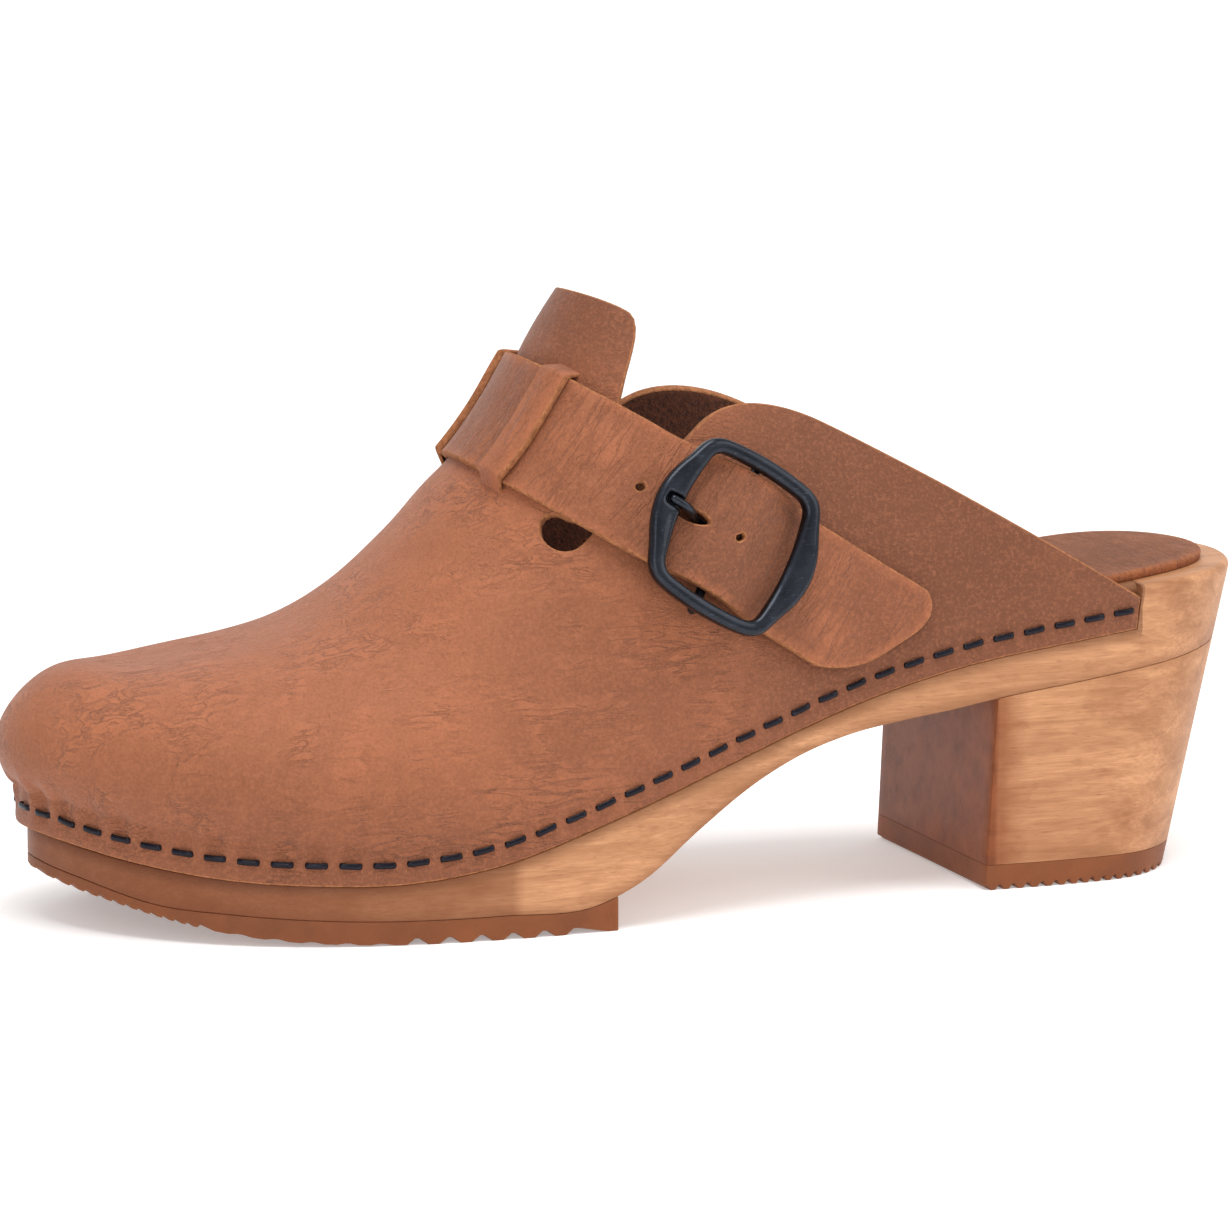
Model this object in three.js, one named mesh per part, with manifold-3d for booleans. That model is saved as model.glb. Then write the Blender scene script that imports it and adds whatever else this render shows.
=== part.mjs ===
// A wooden clog for the left foot: wood plank and block heel, leather upper stapled round the
// plank, instep strap with a centre-bar buckle.
// Millimetres. +X from toe to heel, +Y to the inner side of the foot, +Z up.

import * as THREE from 'three';
import { mergeVertices } from 'three/addons/utils/BufferGeometryUtils.js';
import Module from 'manifold-3d';

const wasm = await Module();
wasm.setup();

// ---- driving dimensions -------------------------------------------------------------------

// plan outline of the plank, from the heel back round the outer side, the toe and the inner side
const OUTLINE = [[246, 0], [241, -17], [227, -28], [205, -31], [180, -31], [155, -32.5],
  [130, -36.5], [105, -40.5], [80, -41.5], [55, -39], [33, -31], [15.5, -18], [5, -3.5],
  [1.4, 10], [7.5, 24], [22.5, 35.2], [47, 42], [75, 43.5], [102, 39.5], [128, 32.5], [154, 29],
  [180, 28.5], [205, 29.5], [227, 27], [241, 16.5]];
const WALL_SEGMENTS = 84;      // straight pieces round the plank's wall

// lines of the side view, as height over length
const STAPLE_LINE = through([[-1, 23.4], [12, 19.6], [25, 17.2], [45, 15.8], [62, 15.8],
  [80, 18.3], [100, 24.4], [120, 31.2], [140, 38.2], [160, 44.5], [180, 49.2], [200, 52.2],
  [215, 54], [246, 57]]);
const HEEL_RIM_LIFT = through([[-1, 0], [195, 0], [215, 1.1], [230, 1], [246, 0]]);
const UNDERSIDE = through([[-3, 15], [2, 12.1], [7, 10.4], [17, 7.2], [30, 6], [47, 5],
  [64, 4.6], [80, 4.6], [100, 5.4], [109, 9.2], [121, 17.8], [134, 26.1], [143, 30.2],
  [154, 33.4], [165, 35.2], [176, 36.6], [187.3, 38.4], [207, 40.8], [246, 45.6]]);
const INSTEP = through([[10, 49.2], [24, 49.8], [34, 51.2], [45, 53.8], [54, 57], [60, 60.3],
  [67, 65.6], [75, 74], [81, 81], [88, 87.5], [96, 98.5], [103, 111.5], [108, 119.5],
  [113, 126], [120, 131], [128, 131.5], [137, 128], [150, 125], [200, 127], [246, 128]]);
const SOLE_CONTACT = through([[-6, 15], [1, 10.4], [13, 6.2], [26, 2.9], [40, 1], [54, 0.3],
  [68, 0], [110, 0]]);

// section of the upper over its length: how square its sides and its crown are, where the
// crown lies across the foot, how far the leather bellies out over the staples, and how far its
// face stands out from the wood under it
const SIDE_POWER = through([[18, 3.4], [45, 2.5], [70, 2.05], [100, 2], [246, 2]]);
const CROWN_POWER = through([[18, 3.8], [45, 2.6], [60, 2], [80, 1.5], [97, 1.3], [136, 1.2],
  [246, 1.2]]);
const CROWN_Y = through([[18, 8.5], [45, 5.5], [80, 3], [120, 2], [246, 0]]);
const BELLY = through([[-1, 4.2], [20, 3.6], [50, 2.4], [90, 1.4], [130, 0.6], [160, 0],
  [246, 0]]);
const PROUD = through([[-1, 2.3], [8, 1.7], [20, 0.9], [45, 0.3], [246, 0.15]]);
const TOE_CAP_RADIUS = 16.5;     // the toe's ribs fan out from this far behind the tip

const RIM_HEIGHT = 60.5;       // top of the wood at the heel back
const HEEL_RAKE = 14.5;        // how far the heel back slopes in, from rim to floor
const HEEL_FRONT = 186;        // where the heel begins
const BREAST_LEAN = 1.8;       // how far the heel's front leans forward at the floor
const LEATHER = 2.2;           // upper leather
const FIT = 0.3;               // gap between pieces that touch
const GLUE = 0.1;              // glue line under the plank
const SEAM_DROP = 3.7;         // leather edge under the staple line
const SEAM_RISE = 3.5;         // plank's top edge over the staple line
const TOPLINE_FALL = 0.045;    // topline's fall towards the inner side
const UPPER_REAR = 217;        // rear end of both quarters
const SHAPE_REAR = 246;        // the skin's formula runs this far

const OUTSOLE_REAR = 103.5;
const OUTSOLE_PITCH = 6.3;
const OUTSOLE_TOOTH = 1.2;
const LIFT_THICKNESS = 5;      // heel top lift, teeth included
const LIFT_PITCH = 3.4;
const LIFT_TOOTH = 1;
const TREAD_FLAT = 0.35;       // flat crest, as a share of the pitch

const PAD_FRONT = 166;
const PAD_BORDER = 6;
const PAD_THICKNESS = 1.8;

const STRAP_TILT = 32.2;       // strap's fall towards the heel, degrees in side view
const STRAP_LINE = 130;        // distance of the strap's middle from the toe's corner, across it
const STRAP_HALF = 12;         // half the strap's width in side view
const STRAP_THICKNESS = 2.1;
const STRAP_REST = 0.5;       // gap under the strap where it lies on the upper
const TAIL_REACH = 103.5;        // from the crown line to the tail's end
const TAIL_SLANT = 0.42;       // how much the tail's upper corner runs ahead
const TAIL_ROUND = 5;
const HOLE_PITCH = 10;
const HOLE_RADIUS = 1.25;
const HOLES = [-1, 1];         // holes each side of the one in use

const BRIDGE_REACH = 15.5;     // from the crown line to the middle of each bridge
const BRIDGE_HALF = 3.3;
const BRIDGE_FOOT = 4.2;       // length over which a bridge rises beside the strap
const BRIDGE_LEATHER = 1.9;

const BUCKLE_REACH = 59.5;      // from the crown line to the buckle's centre bar
const BUCKLE_SHIFT = -0.6;     // buckle's middle across the strap
const BAR_RADIUS = 1;
const BAR_HEIGHT = 2.5;        // centre bar over the leather
const FRAME_HEIGHT = 5.1;      // underside of the frame over the leather
const FRAME_THICKNESS = 3.2;
const WINDOW_ROOM = 1.4;       // window's reach past the strap's edges
const FRAME = { corner: 13.8, bow: 17.4, across: STRAP_HALF + WINDOW_ROOM + 2.7,
  acrossBow: STRAP_HALF + WINDOW_ROOM + 3.4 };
const WINDOW = { corner: 10.8, bow: 11.9, across: STRAP_HALF + WINDOW_ROOM,
  acrossBow: STRAP_HALF + WINDOW_ROOM + 0.5 };
const FRAME_ROUND = 3.2;
const FRAME_BEVEL = 0.7;
const NOTCH_DEPTH = 1.8;
const PRONG_RADIUS = 0.85;
const PRONG_TIP = -15.3;
const PRONG_PLAY = 4;          // degrees
const BUCKLE_PLAY = 2;         // degrees
const HUMP_HALF = 10.7;        // how far the strap's rise over the centre bar spreads

const TAB_WIDTH = 11;
const TAB_REACH = 9.5;
const TAB_LEATHER = 0.9;
const TAB_SLOT = 3;
const RIVET_X = 6.2;
const RIVET_SPREAD = 5.4;
const RIVET_RADIUS = 1.1;
const RIVET_HEAD = 2.4;

const STAPLE_PITCH = 6.4;       // about, round the outer side from the tip
const STAPLE_START = 1.5;
const STAPLE_END = UPPER_REAR - 3.5;
const CROWN = 4.8;
const CROWN_WIDTH = 1.3;
const WIRE = 0.8;
const LEG = 6;
const LEG_CLEARANCE = 0.15;

const SCREWS = [[200, -13], [200, 13], [226, 0]];
const SCREW = { head: 4, shank: 2, length: 34, clearance: 0.15 };

// ---- helpers ------------------------------------------------------------------------------

// smooth curve through knots [x, y], flat outside them
function through(knots) {
  const n = knots.length;
  const rise = knots.slice(1).map(([x, y], i) => (y - knots[i][1]) / (x - knots[i][0]));
  const slope = knots.map(([x], i) => {
    if (i === 0) return rise[0];
    if (i === n - 1) return rise[n - 2];
    const before = x - knots[i - 1][0], after = knots[i + 1][0] - x;
    return (rise[i - 1] * after + rise[i] * before) / (before + after);
  });
  return (q) => {
    const x = THREE.MathUtils.clamp(q, knots[0][0], knots[n - 1][0]);
    let i = 0;
    while (i < n - 2 && x > knots[i + 1][0]) i++;
    const h = knots[i + 1][0] - knots[i][0], t = (x - knots[i][0]) / h;
    return (2 * t ** 3 - 3 * t ** 2 + 1) * knots[i][1] + (t ** 3 - 2 * t ** 2 + t) * h * slope[i]
      + (3 * t ** 2 - 2 * t ** 3) * knots[i + 1][1] + (t ** 3 - t ** 2) * h * slope[i + 1];
  };
}

const range = (n) => Array.from({ length: n }, (_, i) => i);
const vec = (x, y, z) => new THREE.Vector3(x, y, z);

// three.js geometry to solid, and back
function solid(geometry) {
  geometry.deleteAttribute('normal');
  geometry.deleteAttribute('uv');
  geometry.clearGroups();
  const merged = mergeVertices(geometry, 1e-4);
  const index = [];
  for (let i = 0; i < merged.index.count; i += 3) {
    const [a, b, c] = [0, 1, 2].map((k) => merged.index.getX(i + k));
    if (a !== b && b !== c && a !== c) index.push(a, b, c);
  }
  return new wasm.Manifold(new wasm.Mesh({
    numProp: 3,
    vertProperties: Float32Array.from(merged.attributes.position.array),
    triVerts: Uint32Array.from(index),
  }));
}

function geometryOf(body) {
  const mesh = body.getMesh();
  const geometry = new THREE.BufferGeometry();
  geometry.setAttribute('position', new THREE.BufferAttribute(mesh.vertProperties.slice(), 3));
  geometry.setIndex(new THREE.BufferAttribute(mesh.triVerts.slice(), 1));
  return geometry;
}

// closed slab: place(u, v, side) gives its two faces, side 0 below and 1 above
function slab(place, nu, nv) {
  const positions = [], index = [];
  const id = (i, j, side) => (side * (nu + 1) + i) * (nv + 1) + j;
  for (const side of [0, 1])
    for (const i of range(nu + 1))
      for (const j of range(nv + 1)) positions.push(...place(i / nu, j / nv, side).toArray());
  const quad = (a, b, c, d) => index.push(a, b, c, a, c, d);
  for (const i of range(nu))
    for (const j of range(nv)) {
      quad(id(i, j, 1), id(i + 1, j, 1), id(i + 1, j + 1, 1), id(i, j + 1, 1));
      quad(id(i, j, 0), id(i, j + 1, 0), id(i + 1, j + 1, 0), id(i + 1, j, 0));
    }
  for (const i of range(nu)) {
    quad(id(i, 0, 0), id(i + 1, 0, 0), id(i + 1, 0, 1), id(i, 0, 1));
    quad(id(i + 1, nv, 0), id(i, nv, 0), id(i, nv, 1), id(i + 1, nv, 1));
  }
  for (const j of range(nv)) {
    quad(id(0, j + 1, 0), id(0, j, 0), id(0, j, 1), id(0, j + 1, 1));
    quad(id(nu, j, 0), id(nu, j + 1, 0), id(nu, j + 1, 1), id(nu, j, 1));
  }
  const geometry = new THREE.BufferGeometry();
  geometry.setAttribute('position', new THREE.Float32BufferAttribute(positions, 3));
  geometry.setIndex(index);
  const body = solid(geometry);
  return body.volume() < 0 ? solid(flipped(geometry)) : body;
}

function flipped(geometry) {
  const index = geometry.index.clone();
  for (let i = 0; i < index.count; i += 3) {
    const b = index.getX(i + 1);
    index.setX(i + 1, index.getX(i + 2));
    index.setX(i + 2, b);
  }
  return geometry.clone().setIndex(index);
}

// prism of a side-view outline [x, z], right across the shoe
function sideCut(outline, half = 60, fall = 0) {
  const shape = outline instanceof THREE.Shape ? outline
    : new THREE.Shape(outline.map(([x, z]) => new THREE.Vector2(x, z)));
  const geometry = new THREE.ExtrudeGeometry(shape,
    { depth: 2 * half, bevelEnabled: false, curveSegments: 6 });
  return solid(geometry.rotateX(Math.PI / 2).translate(0, half, 0)
    .applyMatrix4(new THREE.Matrix4().makeShear(0, 0, 0, -fall, 0, 0)));
}

// prism of the plan outline, moved inwards by inset(x)
function planCut(inset, from, to) {
  const points = range(WALL_SEGMENTS).map((i) => {
    const p = plan.getPoint(i / WALL_SEGMENTS), along = plan.getTangent(i / WALL_SEGMENTS);
    return new THREE.Vector2(p.x + along.y * inset(p.x), p.y - along.x * inset(p.x));
  });
  const geometry = new THREE.ExtrudeGeometry(new THREE.Shape(points),
    { depth: to - from, bevelEnabled: false });
  return solid(geometry.translate(0, 0, from));
}

const steps = (from, to, n) => range(n + 1).map((i) => from + (to - from) * i / n);
// points on a side-view line, at its two ends and at whole steps between, so that pieces match
function lineOf(f, from, to, dz = 0, step = 5) {
  const inner = range(Math.ceil(to / step) - Math.floor(from / step) - 1)
    .map((i) => (Math.floor(from / step) + 1 + i) * step);
  return [from, ...inner, to].map((x) => [x, f(x) + dz]);
}

// ---- the plank's outline and the skin of the upper -------------------------------------------

const plan = new THREE.CatmullRomCurve3(OUTLINE.map(([x, y]) => vec(x, y, 0)), true,
  'catmullrom', 0.5);
const ring = plan.getPoints(2400);
const tip = ring.reduce((best, p, i) => (p.x < ring[best].x ? i : best), 0);
const TIP_X = ring[tip].x;
const flank = { outer: ring.slice(0, tip + 1).reverse(), inner: ring.slice(tip) };

function edgeY(side, x) {
  const line = flank[side];
  let low = 0, high = line.length - 1;
  while (high - low > 1) {
    const mid = (low + high) >> 1;
    if (line[mid].x > x) high = mid; else low = mid;
  }
  const t = THREE.MathUtils.clamp((x - line[low].x) / (line[high].x - line[low].x || 1), 0, 1);
  return line[low].y + (line[high].y - line[low].y) * t;
}

const bedLine = (x) => STAPLE_LINE(x) + SEAM_RISE + HEEL_RIM_LIFT(x);
const seamTop = (x) => STAPLE_LINE(x) + SEAM_RISE;
const edgeLine = (x) => STAPLE_LINE(x) - SEAM_DROP;

// the wood's wall slopes in under the heel
function raked(x, y, z) {
  const drop = 1 - z / RIM_HEIGHT;
  const back = Math.max(x - HEEL_FRONT, 0) / (SHAPE_REAR - HEEL_FRONT);
  return vec(x - HEEL_RAKE * drop * back,
    y * (1 - 0.05 * drop * THREE.MathUtils.smoothstep(x, 150, 200)), z);
}

// outer face of the upper: x along the edge, q across it (-2 outer edge, -1 outer plank top,
// 0 crown, 1 and 2 the inner side)
function skin(x, q) {
  const u = 1 - Math.abs(q);
  const rib = Math.hypot(Math.max(x - TIP_X, 0), TOE_CAP_RADIUS);
  const phi = Math.max(u, 0) * Math.PI / 2;
  const across = Math.max(Math.cos(phi), 0) ** (2 / SIDE_POWER(rib));
  const up = Math.sin(phi) ** (2 / CROWN_POWER(rib));
  const z = u < 0 ? seamTop(x) + u * (seamTop(x) - edgeLine(x))
    : seamTop(x) + (INSTEP(rib) - seamTop(x)) * up;
  const wall = raked(x, edgeY(q < 0 ? 'outer' : 'inner', x), Math.min(z, seamTop(x)));
  const crownY = CROWN_Y(rib), reach = Math.hypot(wall.x - rib, wall.y - crownY);
  const belly = (PROUD(x) + (u > 0 ? BELLY(x) * Math.sin(Math.PI * up ** 0.75) : 0)) / reach
    * (u > 0 ? 1 - up ** 3 : 1);
  const share = across + belly;
  return vec(rib + (wall.x - rib) * share, crownY + (wall.y - crownY) * share, z);
}

function skinNormal(x, q) {
  const d = 0.01;
  return skin(x + d, q).sub(skin(x - d, q)).cross(skin(x, q + d).sub(skin(x, q - d))).normalize();
}

// closed body under the skin, moved inwards by inset, from the tip to rear
function hull(inset, qMax, rear, ribs = 36, half = 12) {
  const cols = 2 * half;
  const id = (i, j) => (i === 0 ? Math.min(j, cols - j) : half + 1 + (i - 1) * (cols + 1) + j);
  const points = [];
  for (const i of range(ribs + 1))
    for (const j of range(i === 0 ? half + 1 : cols + 1)) {
      const x = TIP_X + (rear - TIP_X) * (i / ribs) ** 2;
      points.push(...skin(x, qMax * spread(j / half - 1)).toArray());
    }
  const index = [];
  for (const i of range(ribs))
    for (const j of range(cols)) {
      const [a, b, c, d] = [id(i, j), id(i + 1, j), id(i + 1, j + 1), id(i, j + 1)];
      if (a !== d) index.push(a, c, b, a, d, c); else index.push(a, c, b);
    }
  const open = new THREE.BufferGeometry();
  open.setAttribute('position', new THREE.Float32BufferAttribute(points, 3));
  open.setIndex(index.slice());
  open.computeVertexNormals();
  const { position, normal } = open.attributes;
  const outward = normal.getZ(id(ribs, half)) > 0 ? 1 : -1;
  for (let i = 0; i < position.count; i++)
    position.setXYZ(i, position.getX(i) - outward * inset * normal.getX(i),
      position.getY(i) - outward * inset * normal.getY(i),
      position.getZ(i) - outward * inset * normal.getZ(i));
  for (const i of range(ribs))
    if (i === 0) index.push(id(0, 0), id(1, 0), id(1, cols));
    else
      index.push(id(i, 0), id(i + 1, 0), id(i + 1, cols), id(i, 0), id(i + 1, cols), id(i, cols));
  for (const j of range(cols - 1)) index.push(id(ribs, 0), id(ribs, j + 1), id(ribs, j + 2));
  open.setIndex(index);
  const body = solid(open);
  return body.volume() < 0 ? solid(flipped(open)) : body;
}

// closer steps near the crown and the plank's top edge
const spread = (w) => Math.sign(w) * Math.abs(w) ** 0.9;

// ---- the strap's own coordinates: s along it from the crown, b across it, h off the leather ----

const tilt = THREE.MathUtils.degToRad(STRAP_TILT);
const across = (p) => p.x * Math.sin(tilt) + p.z * Math.cos(tilt) - STRAP_LINE;
const girths = new Map();

// the skin's section where across() is b
function girth(b) {
  const key = b.toFixed(3);
  if (!girths.has(key)) {
    const rows = steps(-1.999, 1.999, 160).map((q) => {
      let low = TIP_X + 1, high = SHAPE_REAR;
      for (const _ of range(34)) {
        const mid = (low + high) / 2;
        if (across(skin(mid, q)) > b) high = mid; else low = mid;
      }
      return { q, x: low, p: skin(low, q), s: 0 };
    });
    rows.slice(1).forEach((row, i) => { row.s = rows[i].s + row.p.distanceTo(rows[i].p); });
    const middle = rows[80].s;
    rows.forEach((row) => { row.s = middle - row.s; });      // s grows down the outer side
    girths.set(key, rows.reverse());
  }
  return girths.get(key);
}

function onStrap(s, b, h = 0) {
  const rows = girth(b);
  let i = 0;
  while (i < rows.length - 2 && rows[i + 1].s < s) i++;
  const t = THREE.MathUtils.clamp((s - rows[i].s) / (rows[i + 1].s - rows[i].s), 0, 1);
  const x = rows[i].x + (rows[i + 1].x - rows[i].x) * t;
  const q = rows[i].q + (rows[i + 1].q - rows[i].q) * t;
  return skin(x, q).addScaledVector(skinNormal(x, q), h);
}
const strapEnd = (b) => girth(b)[0].s;

// the buckle sits on the leather at its own place, turned with the strap
const seat = (() => {
  const at = onStrap(BUCKLE_REACH, BUCKLE_SHIFT);
  const z = onStrap(BUCKLE_REACH, BUCKLE_SHIFT, 1).sub(at).normalize();
  const x = onStrap(BUCKLE_REACH + 4, BUCKLE_SHIFT).sub(onStrap(BUCKLE_REACH - 4, BUCKLE_SHIFT));
  x.addScaledVector(z, -x.dot(z)).normalize();
  return new THREE.Matrix4().makeBasis(x, z.clone().cross(x), z).setPosition(at);
})();
const seated = (body) => body.transform(seat.elements);

// ---- wood ---------------------------------------------------------------------------------

const plankSide = sideCut([...lineOf(bedLine, -8, 250), ...lineOf(UNDERSIDE, -8, 250).reverse()]);
const rabbetLine = (x) => edgeLine(x + PROUD(x));
const rabbet = sideCut([...lineOf(rabbetLine, -12, UPPER_REAR + FIT, -FIT, 2.5),
  [UPPER_REAR + FIT, 130], [-12, 130]])
  .subtract(planCut((x) => LEATHER + FIT - 0.75 * PROUD(x), -20, 140));
const bedHollow = solid(new THREE.SphereGeometry(1, 20, 10).rotateX(Math.PI / 2)
  .scale(52, 30, 5).translate(70, 1, bedLine(70) + 2));

const padSide = sideCut([...lineOf(bedLine, PAD_FRONT, 250, GLUE),
  ...lineOf(bedLine, PAD_FRONT, 250, GLUE + PAD_THICKNESS).reverse()]);
const padPlan = solid(new THREE.ExtrudeGeometry(padShape(),
  { depth: 120, bevelEnabled: false, curveSegments: 10 }));

function padShape() {
  const points = range(WALL_SEGMENTS).map((i) => {
    const t = i / WALL_SEGMENTS, p = plan.getPoint(t), along = plan.getTangent(t);
    return new THREE.Vector2(p.x + along.y * PAD_BORDER, p.y - along.x * PAD_BORDER);
  });
  const kept = points.filter((p) => p.x > PAD_FRONT + 10);
  const shape = new THREE.Shape();
  const outer = kept.filter((p) => p.y < 0).sort((a, b) => a.x - b.x);
  const inner = kept.filter((p) => p.y >= 0).sort((a, b) => b.x - a.x);
  shape.setFromPoints([...outer, ...inner]);
  shape.bezierCurveTo(PAD_FRONT - 2, inner.at(-1).y, PAD_FRONT - 2, outer[0].y,
    outer[0].x, outer[0].y);
  return shape;
}

// countersunk screw, head up at z = 0, or the hole for it where grow is the clearance
function screwBody(grow) {
  const { head, shank, length } = SCREW, r = shank + grow, rim = head + grow;
  const top = grow > 0 ? 6 : 0;
  return solid(new THREE.LatheGeometry([[0, -length - grow], [r * 0.5, -length - grow],
    [r, -length + 4], [r, -head + shank - grow], [rim, -0.3 - grow / 2], [rim, top], [0, top]]
    .map(([x, y]) => new THREE.Vector2(x, y)), 20).rotateX(Math.PI / 2));
}
const screwTop = (x) => bedLine(x) - 1.2;
const screwAt = ([x, y], grow) => screwBody(grow).translate([x, y, screwTop(x)]);
const screwHoles = SCREWS.map((at) => screwAt(at, SCREW.clearance)).reduce((a, b) => a.add(b));

const heelSide = sideCut([[HEEL_FRONT - BREAST_LEAN, LIFT_THICKNESS + GLUE],
  ...lineOf(UNDERSIDE, HEEL_FRONT, 250, -GLUE),
  [250, LIFT_THICKNESS + GLUE]]);

// saw-tooth tread of flat crests under a line, from x0 to x1
function tread(line, x0, x1, pitch, depth) {
  const count = Math.floor((x1 - x0) / pitch), points = [];
  for (const i of range(count)) {
    const x = x0 + i * pitch;
    for (const [dx, dz] of [[0, 0], [TREAD_FLAT, 0], [0.6, depth], [0.75, depth]])
      points.push([x + dx * pitch, Math.max(line(x + dx * pitch), 0) + dz]);
  }
  return [...points, [x1, Math.max(line(x1), 0)]];
}

const outsoleSide = sideCut([
  ...tread(SOLE_CONTACT, -5, OUTSOLE_REAR - 2, OUTSOLE_PITCH, OUTSOLE_TOOTH),
  ...lineOf(UNDERSIDE, -8, OUTSOLE_REAR, -GLUE).reverse()]);
const liftSide = sideCut([...tread(() => 0, HEEL_FRONT - BREAST_LEAN, 250, LIFT_PITCH, LIFT_TOOTH),
  [250, LIFT_THICKNESS], [HEEL_FRONT - BREAST_LEAN, LIFT_THICKNESS]]);

const wall = planCut(() => 0, -20, 140);
const rake = (body) => body.warp((p) => { [p[0], p[1], p[2]] = raked(...p).toArray(); });

// ---- staples ------------------------------------------------------------------------------

// staples stand on the outer flank's staple line at even steps of its length
const stapleQ = -1 - SEAM_RISE / (SEAM_RISE + SEAM_DROP);
const stapleLine = flank.outer.filter((p) => p.x > STAPLE_START && p.x < STAPLE_END)
  .map((p) => skin(p.x, stapleQ));
const stapleRun = new THREE.CatmullRomCurve3(stapleLine.filter((_, i) => i % 12 === 0));
const STAPLES = Math.round(stapleRun.getLength() / STAPLE_PITCH) + 1;
const stapleFrames = range(STAPLES).map((i) => {
  const t = i / (STAPLES - 1), at = stapleRun.getPointAt(t), along = stapleRun.getTangentAt(t);
  const out = vec(along.y, -along.x, 0).normalize();
  return new THREE.Matrix4().makeBasis(along, out.clone().cross(along), out).setPosition(at);
});

const box = (w, d, h, x, y, z) => solid(new THREE.BoxGeometry(w, d, h).translate(x, y, z));
const stapleShape = [[-CROWN / 2, -LEG], [-CROWN / 2, WIRE], [CROWN / 2, WIRE], [CROWN / 2, -LEG],
  [CROWN / 2 - WIRE, -LEG], [CROWN / 2 - WIRE, 0.1], [-CROWN / 2 + WIRE, 0.1], [-CROWN / 2 + WIRE, -LEG]];
function stapleGeometry() {
  const shape = new THREE.Shape(stapleShape.map(([x, y]) => new THREE.Vector2(x, y)));
  return new THREE.ExtrudeGeometry(shape, { depth: CROWN_WIDTH, bevelEnabled: false })
    .rotateX(Math.PI / 2).translate(0, CROWN_WIDTH / 2, 0);
}
const legPocket = [-1, 1].map((side) => box(WIRE + 2 * LEG_CLEARANCE, CROWN_WIDTH + 2 * LEG_CLEARANCE,
  LEG + 2, side * (CROWN - WIRE) / 2, 0, -LEG / 2 - LEG_CLEARANCE + 1)).reduce((a, b) => a.add(b));
const pockets = stapleFrames.map((m) => legPocket.transform(m.elements)).reduce((a, b) => a.add(b));

// ---- buckle, prong, tab, rivets, in the seat's own frame ----------------------------------------

// four-sided outline with bowed sides and round corners
function bowed({ corner, bow, across: wide, acrossBow }, round) {
  const shape = new THREE.Shape();
  const cut = round;
  shape.moveTo(corner, -wide + cut);
  shape.quadraticCurveTo(2 * bow - corner, 0, corner, wide - cut);
  shape.quadraticCurveTo(corner, wide, corner - cut, wide);
  shape.quadraticCurveTo(0, 2 * acrossBow - wide, -corner + cut, wide);
  shape.quadraticCurveTo(-corner, wide, -corner, wide - cut);
  shape.quadraticCurveTo(corner - 2 * bow, 0, -corner, -wide + cut);
  shape.quadraticCurveTo(-corner, -wide, -corner + cut, -wide);
  shape.quadraticCurveTo(0, wide - 2 * acrossBow, corner - cut, -wide);
  shape.quadraticCurveTo(corner, -wide, corner, -wide + cut);
  return shape;
}

const inset = (outline, d) => Object.fromEntries(Object.entries(outline).map(([k, v]) => [k, v - d]));
const crossBar = (radius, length) => solid(new THREE.CylinderGeometry(radius, radius, length, 14));

function frameBody() {
  const shape = bowed(inset(FRAME, FRAME_BEVEL), FRAME_ROUND);
  const window = bowed(inset(WINDOW, -FRAME_BEVEL), FRAME_ROUND - 1).getPoints(4);
  shape.holes.push(new THREE.Path(window.reverse()));
  const ringBody = solid(new THREE.ExtrudeGeometry(shape, { depth: FRAME_THICKNESS - 2 * FRAME_BEVEL,
    bevelThickness: FRAME_BEVEL, bevelSize: FRAME_BEVEL, bevelSegments: 2, curveSegments: 4 })
    .translate(0, 0, FRAME_HEIGHT + FRAME_BEVEL));
  const reach = (FRAME.acrossBow + WINDOW.acrossBow) / 2;
  const lug = (side) => box(2.6, 2.2, FRAME_HEIGHT + 1 - BAR_HEIGHT + BAR_RADIUS, 0, side * reach,
    (FRAME_HEIGHT + 1 + BAR_HEIGHT - BAR_RADIUS) / 2);
  const notchFloor = FRAME_HEIGHT + FRAME_THICKNESS - NOTCH_DEPTH;
  const notchLength = WINDOW.corner + PRONG_TIP - 2 * FIT;
  const notch = box(-notchLength, 2 * (PRONG_RADIUS + FIT), 2 * NOTCH_DEPTH,
    (PRONG_TIP - 2 * FIT - WINDOW.corner) / 2, 0, notchFloor + NOTCH_DEPTH);
  return ringBody.add(crossBar(BAR_RADIUS, 2 * reach).translate([0, 0, BAR_HEIGHT]))
    .add(lug(1)).add(lug(-1)).subtract(notch);
}

const restHeight = FRAME_HEIGHT + FRAME_THICKNESS - NOTCH_DEPTH;
function prongBody(grow = 0) {
  const r = PRONG_RADIUS + grow;
  const lie = restHeight + PRONG_RADIUS + FIT;
  const path = new THREE.CatmullRomCurve3([[-1.6, BAR_HEIGHT], [-5, BAR_HEIGHT + 0.1],
    [-8, BAR_HEIGHT + 1.5], [-10.3, lie - 1], [-12, lie], [PRONG_TIP, lie]]
    .map(([x, z]) => vec(x, 0, z)));
  const section = new THREE.Shape().absarc(0, 0, r, 0, 2 * Math.PI);
  const arm = solid(new THREE.ExtrudeGeometry(section,
    { steps: 10, curveSegments: 4, extrudePath: path }));
  const eye = crossBar(BAR_RADIUS + 0.95 + grow, 1.9 + 2 * grow).translate([0, 0, BAR_HEIGHT]);
  const bore = crossBar(BAR_RADIUS + 0.12, 6).translate([0, 0, BAR_HEIGHT]);
  return arm.add(eye).subtract(bore);
}

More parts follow.
